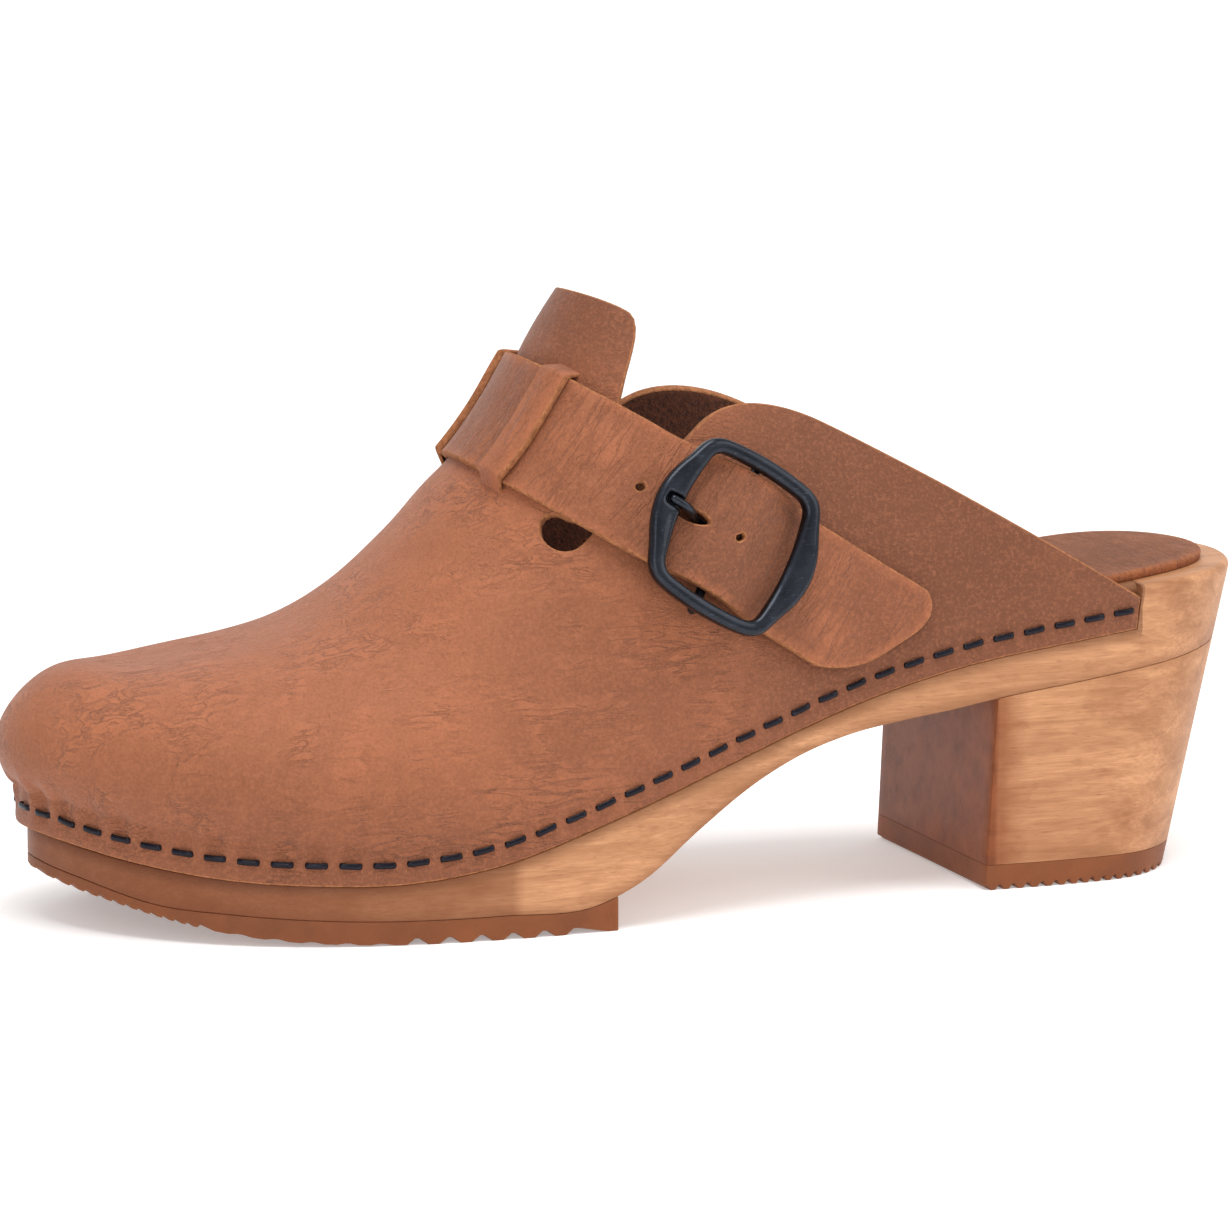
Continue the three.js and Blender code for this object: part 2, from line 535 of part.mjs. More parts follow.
const tabTop = FIT + 2 * TAB_LEATHER + 0.1;
function tabBody() {
  const loop = BAR_RADIUS + 0.15 + TAB_LEATHER;
  const foot = box(TAB_REACH, TAB_WIDTH, tabTop - FIT, TAB_REACH / 2, 0, (tabTop + FIT) / 2);
  return crossBar(loop, TAB_WIDTH).translate([0, 0, BAR_HEIGHT]).add(foot)
    .subtract(crossBar(BAR_RADIUS + 0.15, TAB_WIDTH + 4).translate([0, 0, BAR_HEIGHT]))
    .subtract(box(9, TAB_SLOT, 12, -1.1, 0, 4));
}

function rivetBody(side) {
  const inner = -LEATHER - 2;
  return solid(new THREE.LatheGeometry([[0, inner - 0.6], [RIVET_HEAD, inner - 0.4],
    [RIVET_HEAD, inner + 0.1], [RIVET_RADIUS, inner + 0.1], [RIVET_RADIUS, tabTop + 0.1], [RIVET_HEAD, tabTop + 0.1],
    [RIVET_HEAD, tabTop + 0.4], [0, tabTop + 0.7]].map(([x, y]) => new THREE.Vector2(x, y)), 16)
    .rotateX(Math.PI / 2)).translate([RIVET_X, side * RIVET_SPREAD / 2, 0]);
}
const rivetHole = (side, r = RIVET_RADIUS + 0.12) => solid(new THREE.CylinderGeometry(r, r, 12, 12)
  .rotateX(Math.PI / 2)).translate([RIVET_X, side * RIVET_SPREAD / 2, 0]);

// ---- strap and upper ------------------------------------------------------------------------

// height of the strap's underside: it lies on the upper and rises over the centre bar
const humpTop = BAR_HEIGHT + BAR_RADIUS + TAB_LEATHER + 0.85;
const unseat = seat.clone().invert();
function lift(s, b) {
  if (s < BUCKLE_REACH - 4 * HUMP_HALF) return STRAP_REST;
  const ahead = Math.abs(onStrap(s, b).applyMatrix4(unseat).x);
  return STRAP_REST + (humpTop - STRAP_REST) * Math.exp(-((ahead / HUMP_HALF) ** 2.2));
}
const tailAt = (b) => {
  const over = Math.max(Math.abs(b) - STRAP_HALF + TAIL_ROUND, 0);
  return TAIL_REACH + TAIL_SLANT * b - TAIL_ROUND + Math.sqrt(Math.max(TAIL_ROUND ** 2 - over ** 2, 0));
};
const strapSlab = slab((u, v, side) => {
  const b = -STRAP_HALF * Math.cos(Math.PI * v), from = strapEnd(b) + 0.4;
  const s = from + (tailAt(b) - from) * u;
  return onStrap(s, b, lift(s, b) + side * STRAP_THICKNESS);
}, 48, 4);

const holeAt = (s) => {
  const at = onStrap(s, 0), z = onStrap(s, 0, 1).sub(at).normalize();
  const turned = new THREE.Matrix4().makeRotationFromQuaternion(
    new THREE.Quaternion().setFromUnitVectors(vec(0, 1, 0), z)).setPosition(at);
  return solid(new THREE.CylinderGeometry(HOLE_RADIUS, HOLE_RADIUS, 24, 12)).transform(turned.elements);
};
const turnBar = (body, degrees) => body.translate([0, 0, -BAR_HEIGHT]).rotate([0, degrees, 0])
  .translate([0, 0, BAR_HEIGHT]);
const prongSweep = [-BUCKLE_PLAY, 0, BUCKLE_PLAY, PRONG_PLAY, PRONG_PLAY + BUCKLE_PLAY]
  .map((angle) => seated(turnBar(prongBody(0.3), angle))).reduce((a, b) => a.add(b));

const prongHole = BUCKLE_REACH - 9;
const strapBody = HOLES.map((k) => holeAt(prongHole + k * HOLE_PITCH))
  .reduce((body, hole) => body.subtract(hole), strapSlab).subtract(prongSweep);

function bridge(side) {
  const rise = STRAP_REST + STRAP_THICKNESS + FIT;
  return slab((u, v, top) => {
    const b = (2 * u - 1) * (STRAP_HALF + FIT + BRIDGE_FOOT);
    const up = 1 - THREE.MathUtils.smoothstep(Math.abs(b), STRAP_HALF + FIT, STRAP_HALF + FIT + BRIDGE_FOOT);
    const s = side * BRIDGE_REACH + (2 * v - 1) * BRIDGE_HALF;
    return onStrap(s, b, -BRIDGE_LEATHER + up * (rise + BRIDGE_LEATHER) + top * BRIDGE_LEATHER);
  }, 18, 3);
}
const bridgeSlot = (side) => slab((u, v, top) => onStrap(side * BRIDGE_REACH + (2 * v - 1) * (BRIDGE_HALF + FIT),
  (2 * u - 1) * STRAP_HALF, top * 4 - 3.4), 6, 2);

// side view of what is cut away: behind the tongue and above both quarters
function opening() {
  const shape = new THREE.Shape();
  shape.moveTo(99.3, 76);
  shape.bezierCurveTo(104, 84, 109, 94, 112.4, 103.5);
  shape.bezierCurveTo(114.5, 108, 116.5, 113, 113.5, 116.4);
  shape.bezierCurveTo(111.5, 119, 108, 119.2, 103, 119.6);
  shape.lineTo(80, 150);
  shape.lineTo(270, 150);
  shape.lineTo(270, 60);
  shape.lineTo(UPPER_REAR + 3, 55);
  shape.lineTo(UPPER_REAR - 1, 56.2);
  shape.bezierCurveTo(196, 68.6, 171, 84, 153, 93);
  shape.bezierCurveTo(143, 98, 133, 99.5, 126.5, 94.5);
  shape.bezierCurveTo(117, 87, 109, 80.5, 101, 73.3);
  shape.bezierCurveTo(98, 69.8, 92.8, 71.8, 93.6, 75.6);
  shape.bezierCurveTo(94.2, 79, 97.5, 79, 99.3, 76);
  return shape;
}

const upperBody = hull(0, 2, UPPER_REAR).subtract(hull(LEATHER, 2.5, UPPER_REAR + 6))
  .subtract(sideCut(opening(), 60, TOPLINE_FALL).translate([0, 0, -TOPLINE_FALL * 20]))
  .subtract(bridgeSlot(1)).subtract(bridgeSlot(-1))
  .add(bridge(1)).add(bridge(-1))
  .subtract(pockets)
  .subtract(seated(rivetHole(1))).subtract(seated(rivetHole(-1)));

// ---- materials and assembly --------------------------------------------------------------------

const looks = {
  wood: { color: 0xc99b62, roughness: 0.6, metalness: 0 },
  leather: { color: 0x9c6547, roughness: 0.7, metalness: 0 },
  darkLeather: { color: 0x6b4630, roughness: 0.75, metalness: 0 },
  rubber: { color: 0xb56d45, roughness: 0.8, metalness: 0 },
  gunmetal: { color: 0x3c4148, roughness: 0.35, metalness: 0.9 },
  staple: { color: 0x2b2b35, roughness: 0.4, metalness: 0.8 },
  steel: { color: 0xa8aaad, roughness: 0.35, metalness: 1 },
};

const group = new THREE.Group();
function place(name, look, geometry, parent = group) {
  const mesh = new THREE.Mesh(geometry, new THREE.MeshStandardMaterial(looks[look]));
  mesh.name = name;
  parent.add(mesh);
  return mesh;
}

const plank = rake(plankSide.intersect(wall).subtract(rabbet).subtract(bedHollow));
const heel = rake(heelSide.intersect(wall));
place('wood_sole', 'wood', geometryOf(plank.subtract(pockets).subtract(screwHoles)));
place('heel_block', 'wood', geometryOf(heel.subtract(screwHoles)));
place('heel_top_lift', 'rubber', geometryOf(rake(liftSide.intersect(wall))));
place('toe_outsole', 'rubber', geometryOf(outsoleSide.intersect(wall)));
place('heel_pad', 'darkLeather', geometryOf(rake(padSide.intersect(padPlan))));
SCREWS.forEach((at, i) => place(`heel_screw_${i + 1}`, 'steel', geometryOf(screwAt(at, 0))));
place('upper', 'leather', geometryOf(upperBody));
place('strap', 'leather', geometryOf(strapBody));

const buckle = new THREE.Group();
buckle.applyMatrix4(seat);
group.add(buckle);
place('buckle_frame', 'gunmetal', geometryOf(frameBody()), buckle);
place('buckle_prong', 'gunmetal', geometryOf(prongBody()), buckle);
place('buckle_tab', 'leather', geometryOf(tabBody().subtract(rivetHole(1)).subtract(rivetHole(-1))), buckle);
[-1, 1].forEach((side, i) => place(`tab_rivet_${i + 1}`, 'steel', geometryOf(rivetBody(side)), buckle));

stapleFrames.forEach((frame, i) => {
  const staple = place(`staple_${String(i + 1).padStart(2, '0')}`, 'staple', stapleGeometry());
  staple.applyMatrix4(frame);
});

// the origin is on the floor under the middle of the shoe
const bounds = new THREE.Box3().setFromObject(group);
const part = new THREE.Group();
group.position.set(-(bounds.min.x + bounds.max.x) / 2, -(bounds.min.y + bounds.max.y) / 2, -bounds.min.z);
part.add(group);

export default part;
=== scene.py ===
import math

import bmesh
import bpy
import numpy as np
from bpy.props import FloatProperty, FloatVectorProperty, IntProperty, PointerProperty
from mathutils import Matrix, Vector


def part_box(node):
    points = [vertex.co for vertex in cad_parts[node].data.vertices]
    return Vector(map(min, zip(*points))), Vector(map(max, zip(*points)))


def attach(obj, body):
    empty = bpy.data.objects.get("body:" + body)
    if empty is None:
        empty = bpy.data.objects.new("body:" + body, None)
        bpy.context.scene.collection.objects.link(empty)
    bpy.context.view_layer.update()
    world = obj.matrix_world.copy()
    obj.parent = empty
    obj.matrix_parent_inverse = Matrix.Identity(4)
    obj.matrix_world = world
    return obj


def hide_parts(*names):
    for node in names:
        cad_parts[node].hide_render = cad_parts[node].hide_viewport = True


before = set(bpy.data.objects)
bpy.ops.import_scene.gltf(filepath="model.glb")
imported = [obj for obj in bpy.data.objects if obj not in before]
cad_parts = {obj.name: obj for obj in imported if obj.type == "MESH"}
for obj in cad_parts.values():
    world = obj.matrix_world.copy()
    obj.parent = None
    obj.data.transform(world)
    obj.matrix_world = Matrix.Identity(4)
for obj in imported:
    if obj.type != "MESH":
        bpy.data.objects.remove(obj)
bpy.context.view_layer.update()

bl_info = {
    "name": "Wooden clog",
    "version": (1, 0, 0),
    "blender": (4, 5, 0),
    "location": "3D View > Sidebar > Clog",
    "description": "Builds the finished surfaces of a heeled wooden clog round its solid model",
    "category": "Add Mesh",
}

# Shapes are worked out in the maker's millimetres: x from the toe to the heel, y to the inner side
# of the foot, z up from the floor. The toe's wood begins at x = 1.4 and the heel ends at x = 246.
REAR_SCREW = (226.0, 0.0)
_low, _high = (np.array(corner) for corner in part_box("heel_screw_3"))
SHIFT = np.array([*(np.array(REAR_SCREW) - 500 * (_low + _high)[:2]), 0.0])


def metres(points):
    """The maker's millimetres as metres in the model's frame."""
    return (np.asarray(points, float) - SHIFT) / 1000


# ---- lines that give the clog its shape -------------------------------------------------------


def through(*knots):
    """Smooth curve through (x, y) knots: cubic pieces whose slope at a knot is the mean of its
    neighbours' slopes, each weighted by the other's length. Flat outside the knots."""
    x, y = np.array(knots, float).T
    h = np.diff(x)
    rise = np.diff(y) / h
    slope = np.concatenate([rise[:1], (rise[:-1] * h[1:] + rise[1:] * h[:-1]) / (h[:-1] + h[1:]),
                            rise[-1:]])

    def curve(q):
        q = np.clip(q, x[0], x[-1])
        i = np.clip(np.searchsorted(x, q, side="right") - 1, 0, len(h) - 1)
        t = (q - x[i]) / h[i]
        return ((2 * t**3 - 3 * t**2 + 1) * y[i] + (t**3 - 2 * t**2 + t) * h[i] * slope[i]
                + (3 * t**2 - 2 * t**3) * y[i + 1] + (t**3 - t**2) * h[i] * slope[i + 1])
    return curve


OUTLINE = np.array([
    (246, 0), (241, -17), (227, -28), (205, -31), (180, -31), (155, -32.5), (130, -36.5),
    (105, -40.5), (80, -41.5), (55, -39), (33, -31), (15.5, -18), (5, -3.5), (1.4, 10), (7.5, 24),
    (22.5, 35.2), (47, 42), (75, 43.5), (102, 39.5), (128, 32.5), (154, 29), (180, 28.5),
    (205, 29.5), (227, 27), (241, 16.5)], float)
staple_line = through((-1, 23.4), (12, 19.6), (25, 17.2), (45, 15.8), (62, 15.8), (80, 18.3),
                      (100, 24.4), (120, 31.2), (140, 38.2), (160, 44.5), (180, 49.2), (200, 52.2),
                      (215, 54), (246, 57))
heel_rim_lift = through((-1, 0), (195, 0), (215, 1.1), (230, 1), (246, 0))
underside = through((-3, 15), (2, 12.1), (7, 10.4), (17, 7.2), (30, 6), (47, 5), (64, 4.6),
                    (80, 4.6), (100, 5.4), (109, 9.2), (121, 17.8), (134, 26.1), (143, 30.2),
                    (154, 33.4), (165, 35.2), (176, 36.6), (187.3, 38.4), (207, 40.8), (246, 45.6))
instep = through((10, 49.2), (24, 49.8), (34, 51.2), (45, 53.8), (54, 57), (60, 60.3), (67, 65.6),
                 (75, 74), (81, 81), (88, 87.5), (96, 98.5), (103, 111.5), (108, 119.5), (113, 126),
                 (120, 131), (128, 131.5), (137, 128), (150, 125), (200, 127), (246, 128))
sole_contact = through((-6, 15), (1, 10.4), (13, 6.2), (26, 2.9), (40, 1), (54, 0.3), (68, 0),
                       (110, 0))
side_power = through((18, 3.4), (45, 2.5), (70, 2.05), (100, 2), (246, 2))
crown_power = through((18, 3.8), (45, 2.6), (60, 2), (80, 1.5), (97, 1.3), (136, 1.2), (246, 1.2))
crown_y = through((18, 8.5), (45, 5.5), (80, 3), (120, 2), (246, 0))
belly = through((-1, 4.2), (20, 3.6), (50, 2.4), (90, 1.4), (130, 0.6), (160, 0), (246, 0))
proud = through((-1, 2.3), (8, 1.7), (20, 0.9), (45, 0.3), (246, 0.15))

TOE_CAP_RADIUS, RIM_HEIGHT, HEEL_RAKE, HEEL_FRONT, BREAST_LEAN = 16.5, 60.5, 14.5, 186.0, 1.8
LEATHER, FIT, GLUE, SEAM_DROP, SEAM_RISE = 2.2, 0.3, 0.1, 3.7, 3.5
TOPLINE_FALL, UPPER_REAR, SHAPE_REAR = 0.045, 217.0, 246.0
OUTSOLE_REAR, OUTSOLE_PITCH, OUTSOLE_TOOTH = 103.5, 6.3, 1.2
TIP_REAR, TIP_PITCH, TIP_TOOTH, WAVE_REAR, WAVE_TOOTH = 27, 1.9, 0.6, 59, 0.3
LIFT_THICKNESS, LIFT_PITCH, LIFT_TOOTH = 5.0, 3.4, 1.0
PAD_FRONT, PAD_BORDER, PAD_THICKNESS = 167.0, 6.0, 1.8
STRAP_TILT, STRAP_LINE, STRAP_HALF, STRAP_REST = math.radians(32.2), 130.0, 12.0, 0.5
TAIL_REACH, TAIL_SLANT, TAIL_ROUND, TAIL_TRIM = 103.5, 0.42, 8.5, 2.0
HOLE_PITCH, HOLE_RADIUS, PRONG_BACK = 10.0, 1.25, 9.0
PRONG_SLOT = (0.4, 3.8, 1.6)     # ahead of the prong's hole, half length, half width
BRIDGE_REACH, BRIDGE_HALF, BRIDGE_FOOT = 15.5, 3.3, 2.6
BUCKLE_REACH, BUCKLE_SHIFT, BAR_RADIUS, BAR_HEIGHT = 59.5, -0.6, 1.0, 2.5
FRAME_HEIGHT, FRAME_THICKNESS, NOTCH_DEPTH = 5.1, 3.2, 1.8
PRONG_RADIUS, PRONG_TIP, HUMP_HALF = 0.85, -15.3, 10.7
TAB_WIDTH, TAB_REACH, TAB_LEATHER, TAB_SLOT = 11.0, 9.5, 0.9, 3.0
STAPLE_START, STAPLE_END, CROWN, CROWN_WIDTH, WIRE = 1.5, 213.5, 4.8, 1.3, 0.8
SEAM = 0.03                      # what is left open between wood and wood, or wood and rubber


def closed_curve(points, count):
    """Closed curve through points: each piece a cubic whose end slopes are half the chord between
    the neighbours."""
    t = np.arange(count) / count * len(points)
    i = t.astype(int)
    t = (t - i)[:, None]
    before, a, b, after = (points[(i + k) % len(points)] for k in (-1, 0, 1, 2))
    return ((2 * t**3 - 3 * t**2 + 1) * a + (t**3 - 2 * t**2 + t) * (b - before) / 2
            + (3 * t**2 - 2 * t**3) * b + (t**3 - t**2) * (after - a) / 2)


RING = closed_curve(OUTLINE, 2400)
TIP = int(np.argmin(RING[:, 0]))
TIP_X = RING[TIP, 0]
OUTER = RING[:TIP + 1][::-1]
INNER = np.concatenate([RING[TIP:], RING[:1]])


def edge_y(x, side):
    """y of the plank's edge at x, on the outer side where side is below 0, else on the inner."""
    return np.where(side < 0, np.interp(x, OUTER[:, 0], OUTER[:, 1]),
                    np.interp(x, INNER[:, 0], INNER[:, 1]))


def bed_line(x):
    return staple_line(x) + SEAM_RISE + heel_rim_lift(x)


def smooth(x, low, high):
    t = np.clip((x - low) / (high - low), 0, 1)
    return t * t * (3 - 2 * t)


def raked(x, y, z):
    """The wood's wall slopes in under the heel: x and y shrink with the drop below the rim."""
    drop = 1 - z / RIM_HEIGHT
    back = np.maximum(x - HEEL_FRONT, 0) / (SHAPE_REAR - HEEL_FRONT)
    return x - HEEL_RAKE * drop * back, y * (1 - 0.05 * drop * smooth(x, 150, 200))


def skin(x, q):
    """Outer face of the upper. x runs along the plank's edge; q runs across, from -2 at the outer
    leather edge, -1 at the plank's top and 0 on the crown, to 2 at the inner edge. A rib stands at
    the hypotenuse of x and the toe's radius; across it, y falls as a power of a cosine, and z
    rises as a power of a sine."""
    u = 1 - np.abs(q)
    rib = np.hypot(np.maximum(x - TIP_X, 0), TOE_CAP_RADIUS)
    phi = np.maximum(u, 0) * np.pi / 2
    across = np.maximum(np.cos(phi), 0) ** (2 / side_power(rib))
    up = np.sin(phi) ** (2 / crown_power(rib))
    top = staple_line(x) + SEAM_RISE
    z = np.where(u < 0, top + u * (SEAM_RISE + SEAM_DROP), top + (instep(rib) - top) * up)
    wx, wy = raked(x, edge_y(x, q), np.minimum(z, top))
    cy = crown_y(rib)
    out = proud(x) + np.where(u > 0, belly(x) * np.sin(np.pi * up**0.75), 0)
    out = out / np.hypot(wx - rib, wy - cy) * np.where(u > 0, 1 - up**3, 1)
    return np.stack([rib + (wx - rib) * (across + out), cy + (wy - cy) * (across + out), z], -1)


def unit(v):
    return v / np.maximum(np.linalg.norm(v, axis=-1, keepdims=True), 1e-12)


def skin_normal(x, q, d=0.01):
    return unit(np.cross(skin(x + d, q) - skin(x - d, q), skin(x, q + d) - skin(x, q - d)))


# ---- the strap's own coordinates: s along it from the crown, b across it, h off the leather ------

TABLE_S = np.linspace(-160, 160, 641)
TABLE_B = np.linspace(-18, 18, 73)


def strap_table():
    """For each b, the skin's section along which x sin(tilt) + z cos(tilt) keeps its distance b
    from the strap's line, found by halving; s is the length along it from the crown."""
    q = np.linspace(-1.999, 1.999, 321)[None, :] + 0 * TABLE_B[:, None]
    low, high = np.full(q.shape, TIP_X + 1), np.full(q.shape, SHAPE_REAR)
    for _ in range(34):
        mid = (low + high) / 2
        p = skin(mid, q)
        over = p[..., 0] * math.sin(STRAP_TILT) + p[..., 2] * math.cos(STRAP_TILT) - STRAP_LINE
        beyond = over > TABLE_B[:, None]
        low, high = np.where(beyond, low, mid), np.where(beyond, mid, high)
    p = skin(low, q)
    run = np.cumsum(np.linalg.norm(np.diff(p, axis=1), axis=2), axis=1)
    run = np.concatenate([np.zeros((len(TABLE_B), 1)), run], axis=1)
    s = run[:, 160:161] - run
    xs, qs = (np.array([np.interp(TABLE_S, s[i, ::-1], v[i, ::-1]) for i in range(len(TABLE_B))])
              for v in (low, q))
    return xs, qs, s[:, -1]


STRAP_X, STRAP_Q, STRAP_END = strap_table()


def strap_to_skin(s, b):
    """x and q of the skin's point at s, b, from the table."""
    i = np.clip((b - TABLE_B[0]) / (TABLE_B[1] - TABLE_B[0]), 0, len(TABLE_B) - 1.001)
    j = np.clip((s - TABLE_S[0]) / (TABLE_S[1] - TABLE_S[0]), 0, len(TABLE_S) - 1.001)
    i0, j0 = i.astype(int), j.astype(int)
    fi, fj = i - i0, j - j0
    return tuple(
        (t[i0, j0] * (1 - fj) + t[i0, j0 + 1] * fj) * (1 - fi)
        + (t[i0 + 1, j0] * (1 - fj) + t[i0 + 1, j0 + 1] * fj) * fi for t in (STRAP_X, STRAP_Q))


def on_strap(s, b, h=0.0):
    s, b = np.broadcast_arrays(np.asarray(s, float), np.asarray(b, float))
    x, q = strap_to_skin(s, b)
    return skin(x, q) + skin_normal(x, q) * np.asarray(h, float)[..., None]


def seat_frame():
    """The buckle's own frame: z off the leather, x towards the strap's tail."""
    at = on_strap(BUCKLE_REACH, BUCKLE_SHIFT)
    z = unit(on_strap(BUCKLE_REACH, BUCKLE_SHIFT, 1.0) - at)
    x = on_strap(BUCKLE_REACH + 4, BUCKLE_SHIFT) - on_strap(BUCKLE_REACH - 4, BUCKLE_SHIFT)
    x = unit(x - z * (x @ z))
    return at, np.stack([x, np.cross(z, x), z])


SEAT, SEAT_AXES = seat_frame()


def seated(points):
    """Points of the buckle's own frame, in the maker's frame."""
    return SEAT + np.asarray(points, float) @ SEAT_AXES


def strap_lift(s, b, rest=STRAP_REST):
    """Height of the strap's underside: at rest on the upper, and a bell over the centre bar."""
    top = BAR_HEIGHT + BAR_RADIUS + TAB_LEATHER + 0.85
    ahead = np.abs((on_strap(s, b) - SEAT) @ SEAT_AXES[0])
    bell = np.exp(-((ahead / HUMP_HALF) ** 2.2))
    return rest + (top - rest) * np.where(s < BUCKLE_REACH - 4 * HUMP_HALF, 0, bell)


# ---- meshes ----------------------------------------------------------------------------------


def new_piece(name, verts, faces, finishes, kinds=None, attributes=None, lay=None, sharp=None):
    """A mesh object from points in the maker's millimetres. kinds gives each face's finish,
    attributes a number for each point, lay each point's place on the flat hide in millimetres."""
    mesh = bpy.data.meshes.new(name)
    sizes = np.array([len(f) for f in faces])
    mesh.vertices.add(len(verts))
    mesh.vertices.foreach_set("co", metres(verts).astype(np.float32).ravel())
    mesh.loops.add(int(sizes.sum()))
    corners = np.concatenate([np.asarray(f, np.int32) for f in faces]) if len(faces) else []
    mesh.loops.foreach_set("vertex_index", corners)
    mesh.polygons.add(len(faces))
    mesh.polygons.foreach_set("loop_start", np.concatenate([[0], np.cumsum(sizes)[:-1]]))
    mesh.polygons.foreach_set("use_smooth", np.ones(len(faces), bool))
    for finish in finishes:
        mesh.materials.append(finish)
    if kinds is not None:
        mesh.polygons.foreach_set("material_index", np.asarray(kinds, np.int32))
    for key, values in (attributes or {}).items():
        mesh.attributes.new(key, "FLOAT", "POINT").data.foreach_set(
            "value", np.asarray(values, np.float32))
    if lay is not None:
        uv = mesh.uv_layers.new(name="lay")
        uv.data.foreach_set("uv", (np.asarray(lay)[corners] / 100).astype(np.float32).ravel())
    mesh.update(calc_edges=True)
    mesh.validate()
    if sharp is not None:
        mesh.set_sharp_from_angle(angle=math.radians(sharp))
    piece = bpy.data.objects.new(name, mesh)
    bpy.context.scene.collection.objects.link(piece)
    return piece


def cleaned(piece, outward=True, gap=2e-6):
    """Merges doubled points and turns the faces outwards."""
    bm = bmesh.new()
    bm.from_mesh(piece.data)
    bmesh.ops.remove_doubles(bm, verts=bm.verts, dist=gap)
    bmesh.ops.dissolve_degenerate(bm, edges=bm.edges, dist=1e-7)
    if outward:
        bmesh.ops.recalc_face_normals(bm, faces=bm.faces)
    bm.to_mesh(piece.data)
    bm.free()
    return piece


def finished(piece, body, slot, *nodes):
    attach(piece, body)
    if nodes:
        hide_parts(*nodes)
    return piece


def quads(rows, cols, closed=False):
    """Faces of a grid of points in row order; closed joins the last column to the first."""
    i, j = np.meshgrid(np.arange(rows - 1), np.arange(cols if closed else cols - 1), indexing="ij")
    k = (j + 1) % cols
    return np.stack([i * cols + j, (i + 1) * cols + j, (i + 1) * cols + k, i * cols + k],
                    -1).reshape(-1, 4)


def cut_grid(u, v, field):
    """Cuts a grid where field(u, v) is above 0. Points close to the cut slide onto it, and each
    triangle that it still crosses is clipped there. Gives u, v and the kept faces."""
    f = field(u, v)
    pulls = []
    for axis, step in ((0, 1), (0, -1), (1, 1), (1, -1)):
        un, vn, fn = (np.roll(a, -step, axis) for a in (u, v, f))
        edge = [slice(None)] * 2
        edge[axis] = -1 if step > 0 else 0
        t = np.where((f > 0) != (fn > 0), f / np.where(f == fn, 1, f - fn), 9.0)
        t[tuple(edge)] = 9.0
        pulls.append((t, un, vn))
    pick = np.argmin([t for t, _, _ in pulls], 0)
    t, un, vn = (np.choose(pick, [p[k] for p in pulls]) for k in range(3))
    near = t < 0.36
    u, v, f = np.where(near, u + t * (un - u), u), np.where(near, v + t * (vn - v), v), \
        np.where(near, 0.0, f)
    flat = f.ravel()
    cells = quads(*u.shape)
    out = flat[cells] > 0
    cells_in = cells[~out.any(1) & (flat[cells] < 0).any(1)]
    mixed = cells[out.any(1) & (flat[cells] < 0).any(1)]
    tri = np.concatenate([mixed[:, [0, 1, 2]], mixed[:, [0, 2, 3]]])
    tri = tri[(flat[tri] < 0).any(1)]
    gone = (flat[tri] > 0).sum(1)
    whole = tri[gone == 0]
    points = {}
    extra_u, extra_v = [], []
    uu, vv = u.ravel(), v.ravel()

    def crossing(a, b):
        """Points where the cut crosses the edges a-b, made once for each edge."""
        found = np.where(flat[b] == 0, b, -1)
        found = np.where((found < 0) & (flat[a] == 0), a, found)
        for k in np.flatnonzero(found < 0):
            key = (min(a[k], b[k]), max(a[k], b[k]))
            if key not in points:
                w = flat[a[k]] / (flat[a[k]] - flat[b[k]])
                points[key] = len(uu) + len(extra_u)
                extra_u.append(uu[a[k]] + w * (uu[b[k]] - uu[a[k]]))
                extra_v.append(vv[a[k]] + w * (vv[b[k]] - vv[a[k]]))
            found[k] = points[key]
        return found

    faces = [*cells_in, *whole]
    for count in (1, 2):
        some = tri[gone == count]
        odd = np.argmax((flat[some] > 0) == (count == 1), 1)
        a, b, c = (some[np.arange(len(some)), (odd + k) % 3] for k in range(3))
        ab, ac = crossing(a, b), crossing(a, c)
        faces += list(np.stack([ab, b, c, ac] if count == 1 else [a, ab, ac], 1))
    clean = []
    for face in faces:
        kept = [int(p) for k, p in enumerate(face) if p != face[k - 1]]
        if len(set(kept)) == len(kept) > 2:
            clean.append(kept)
    return np.append(uu, extra_u), np.append(vv, extra_v), clean


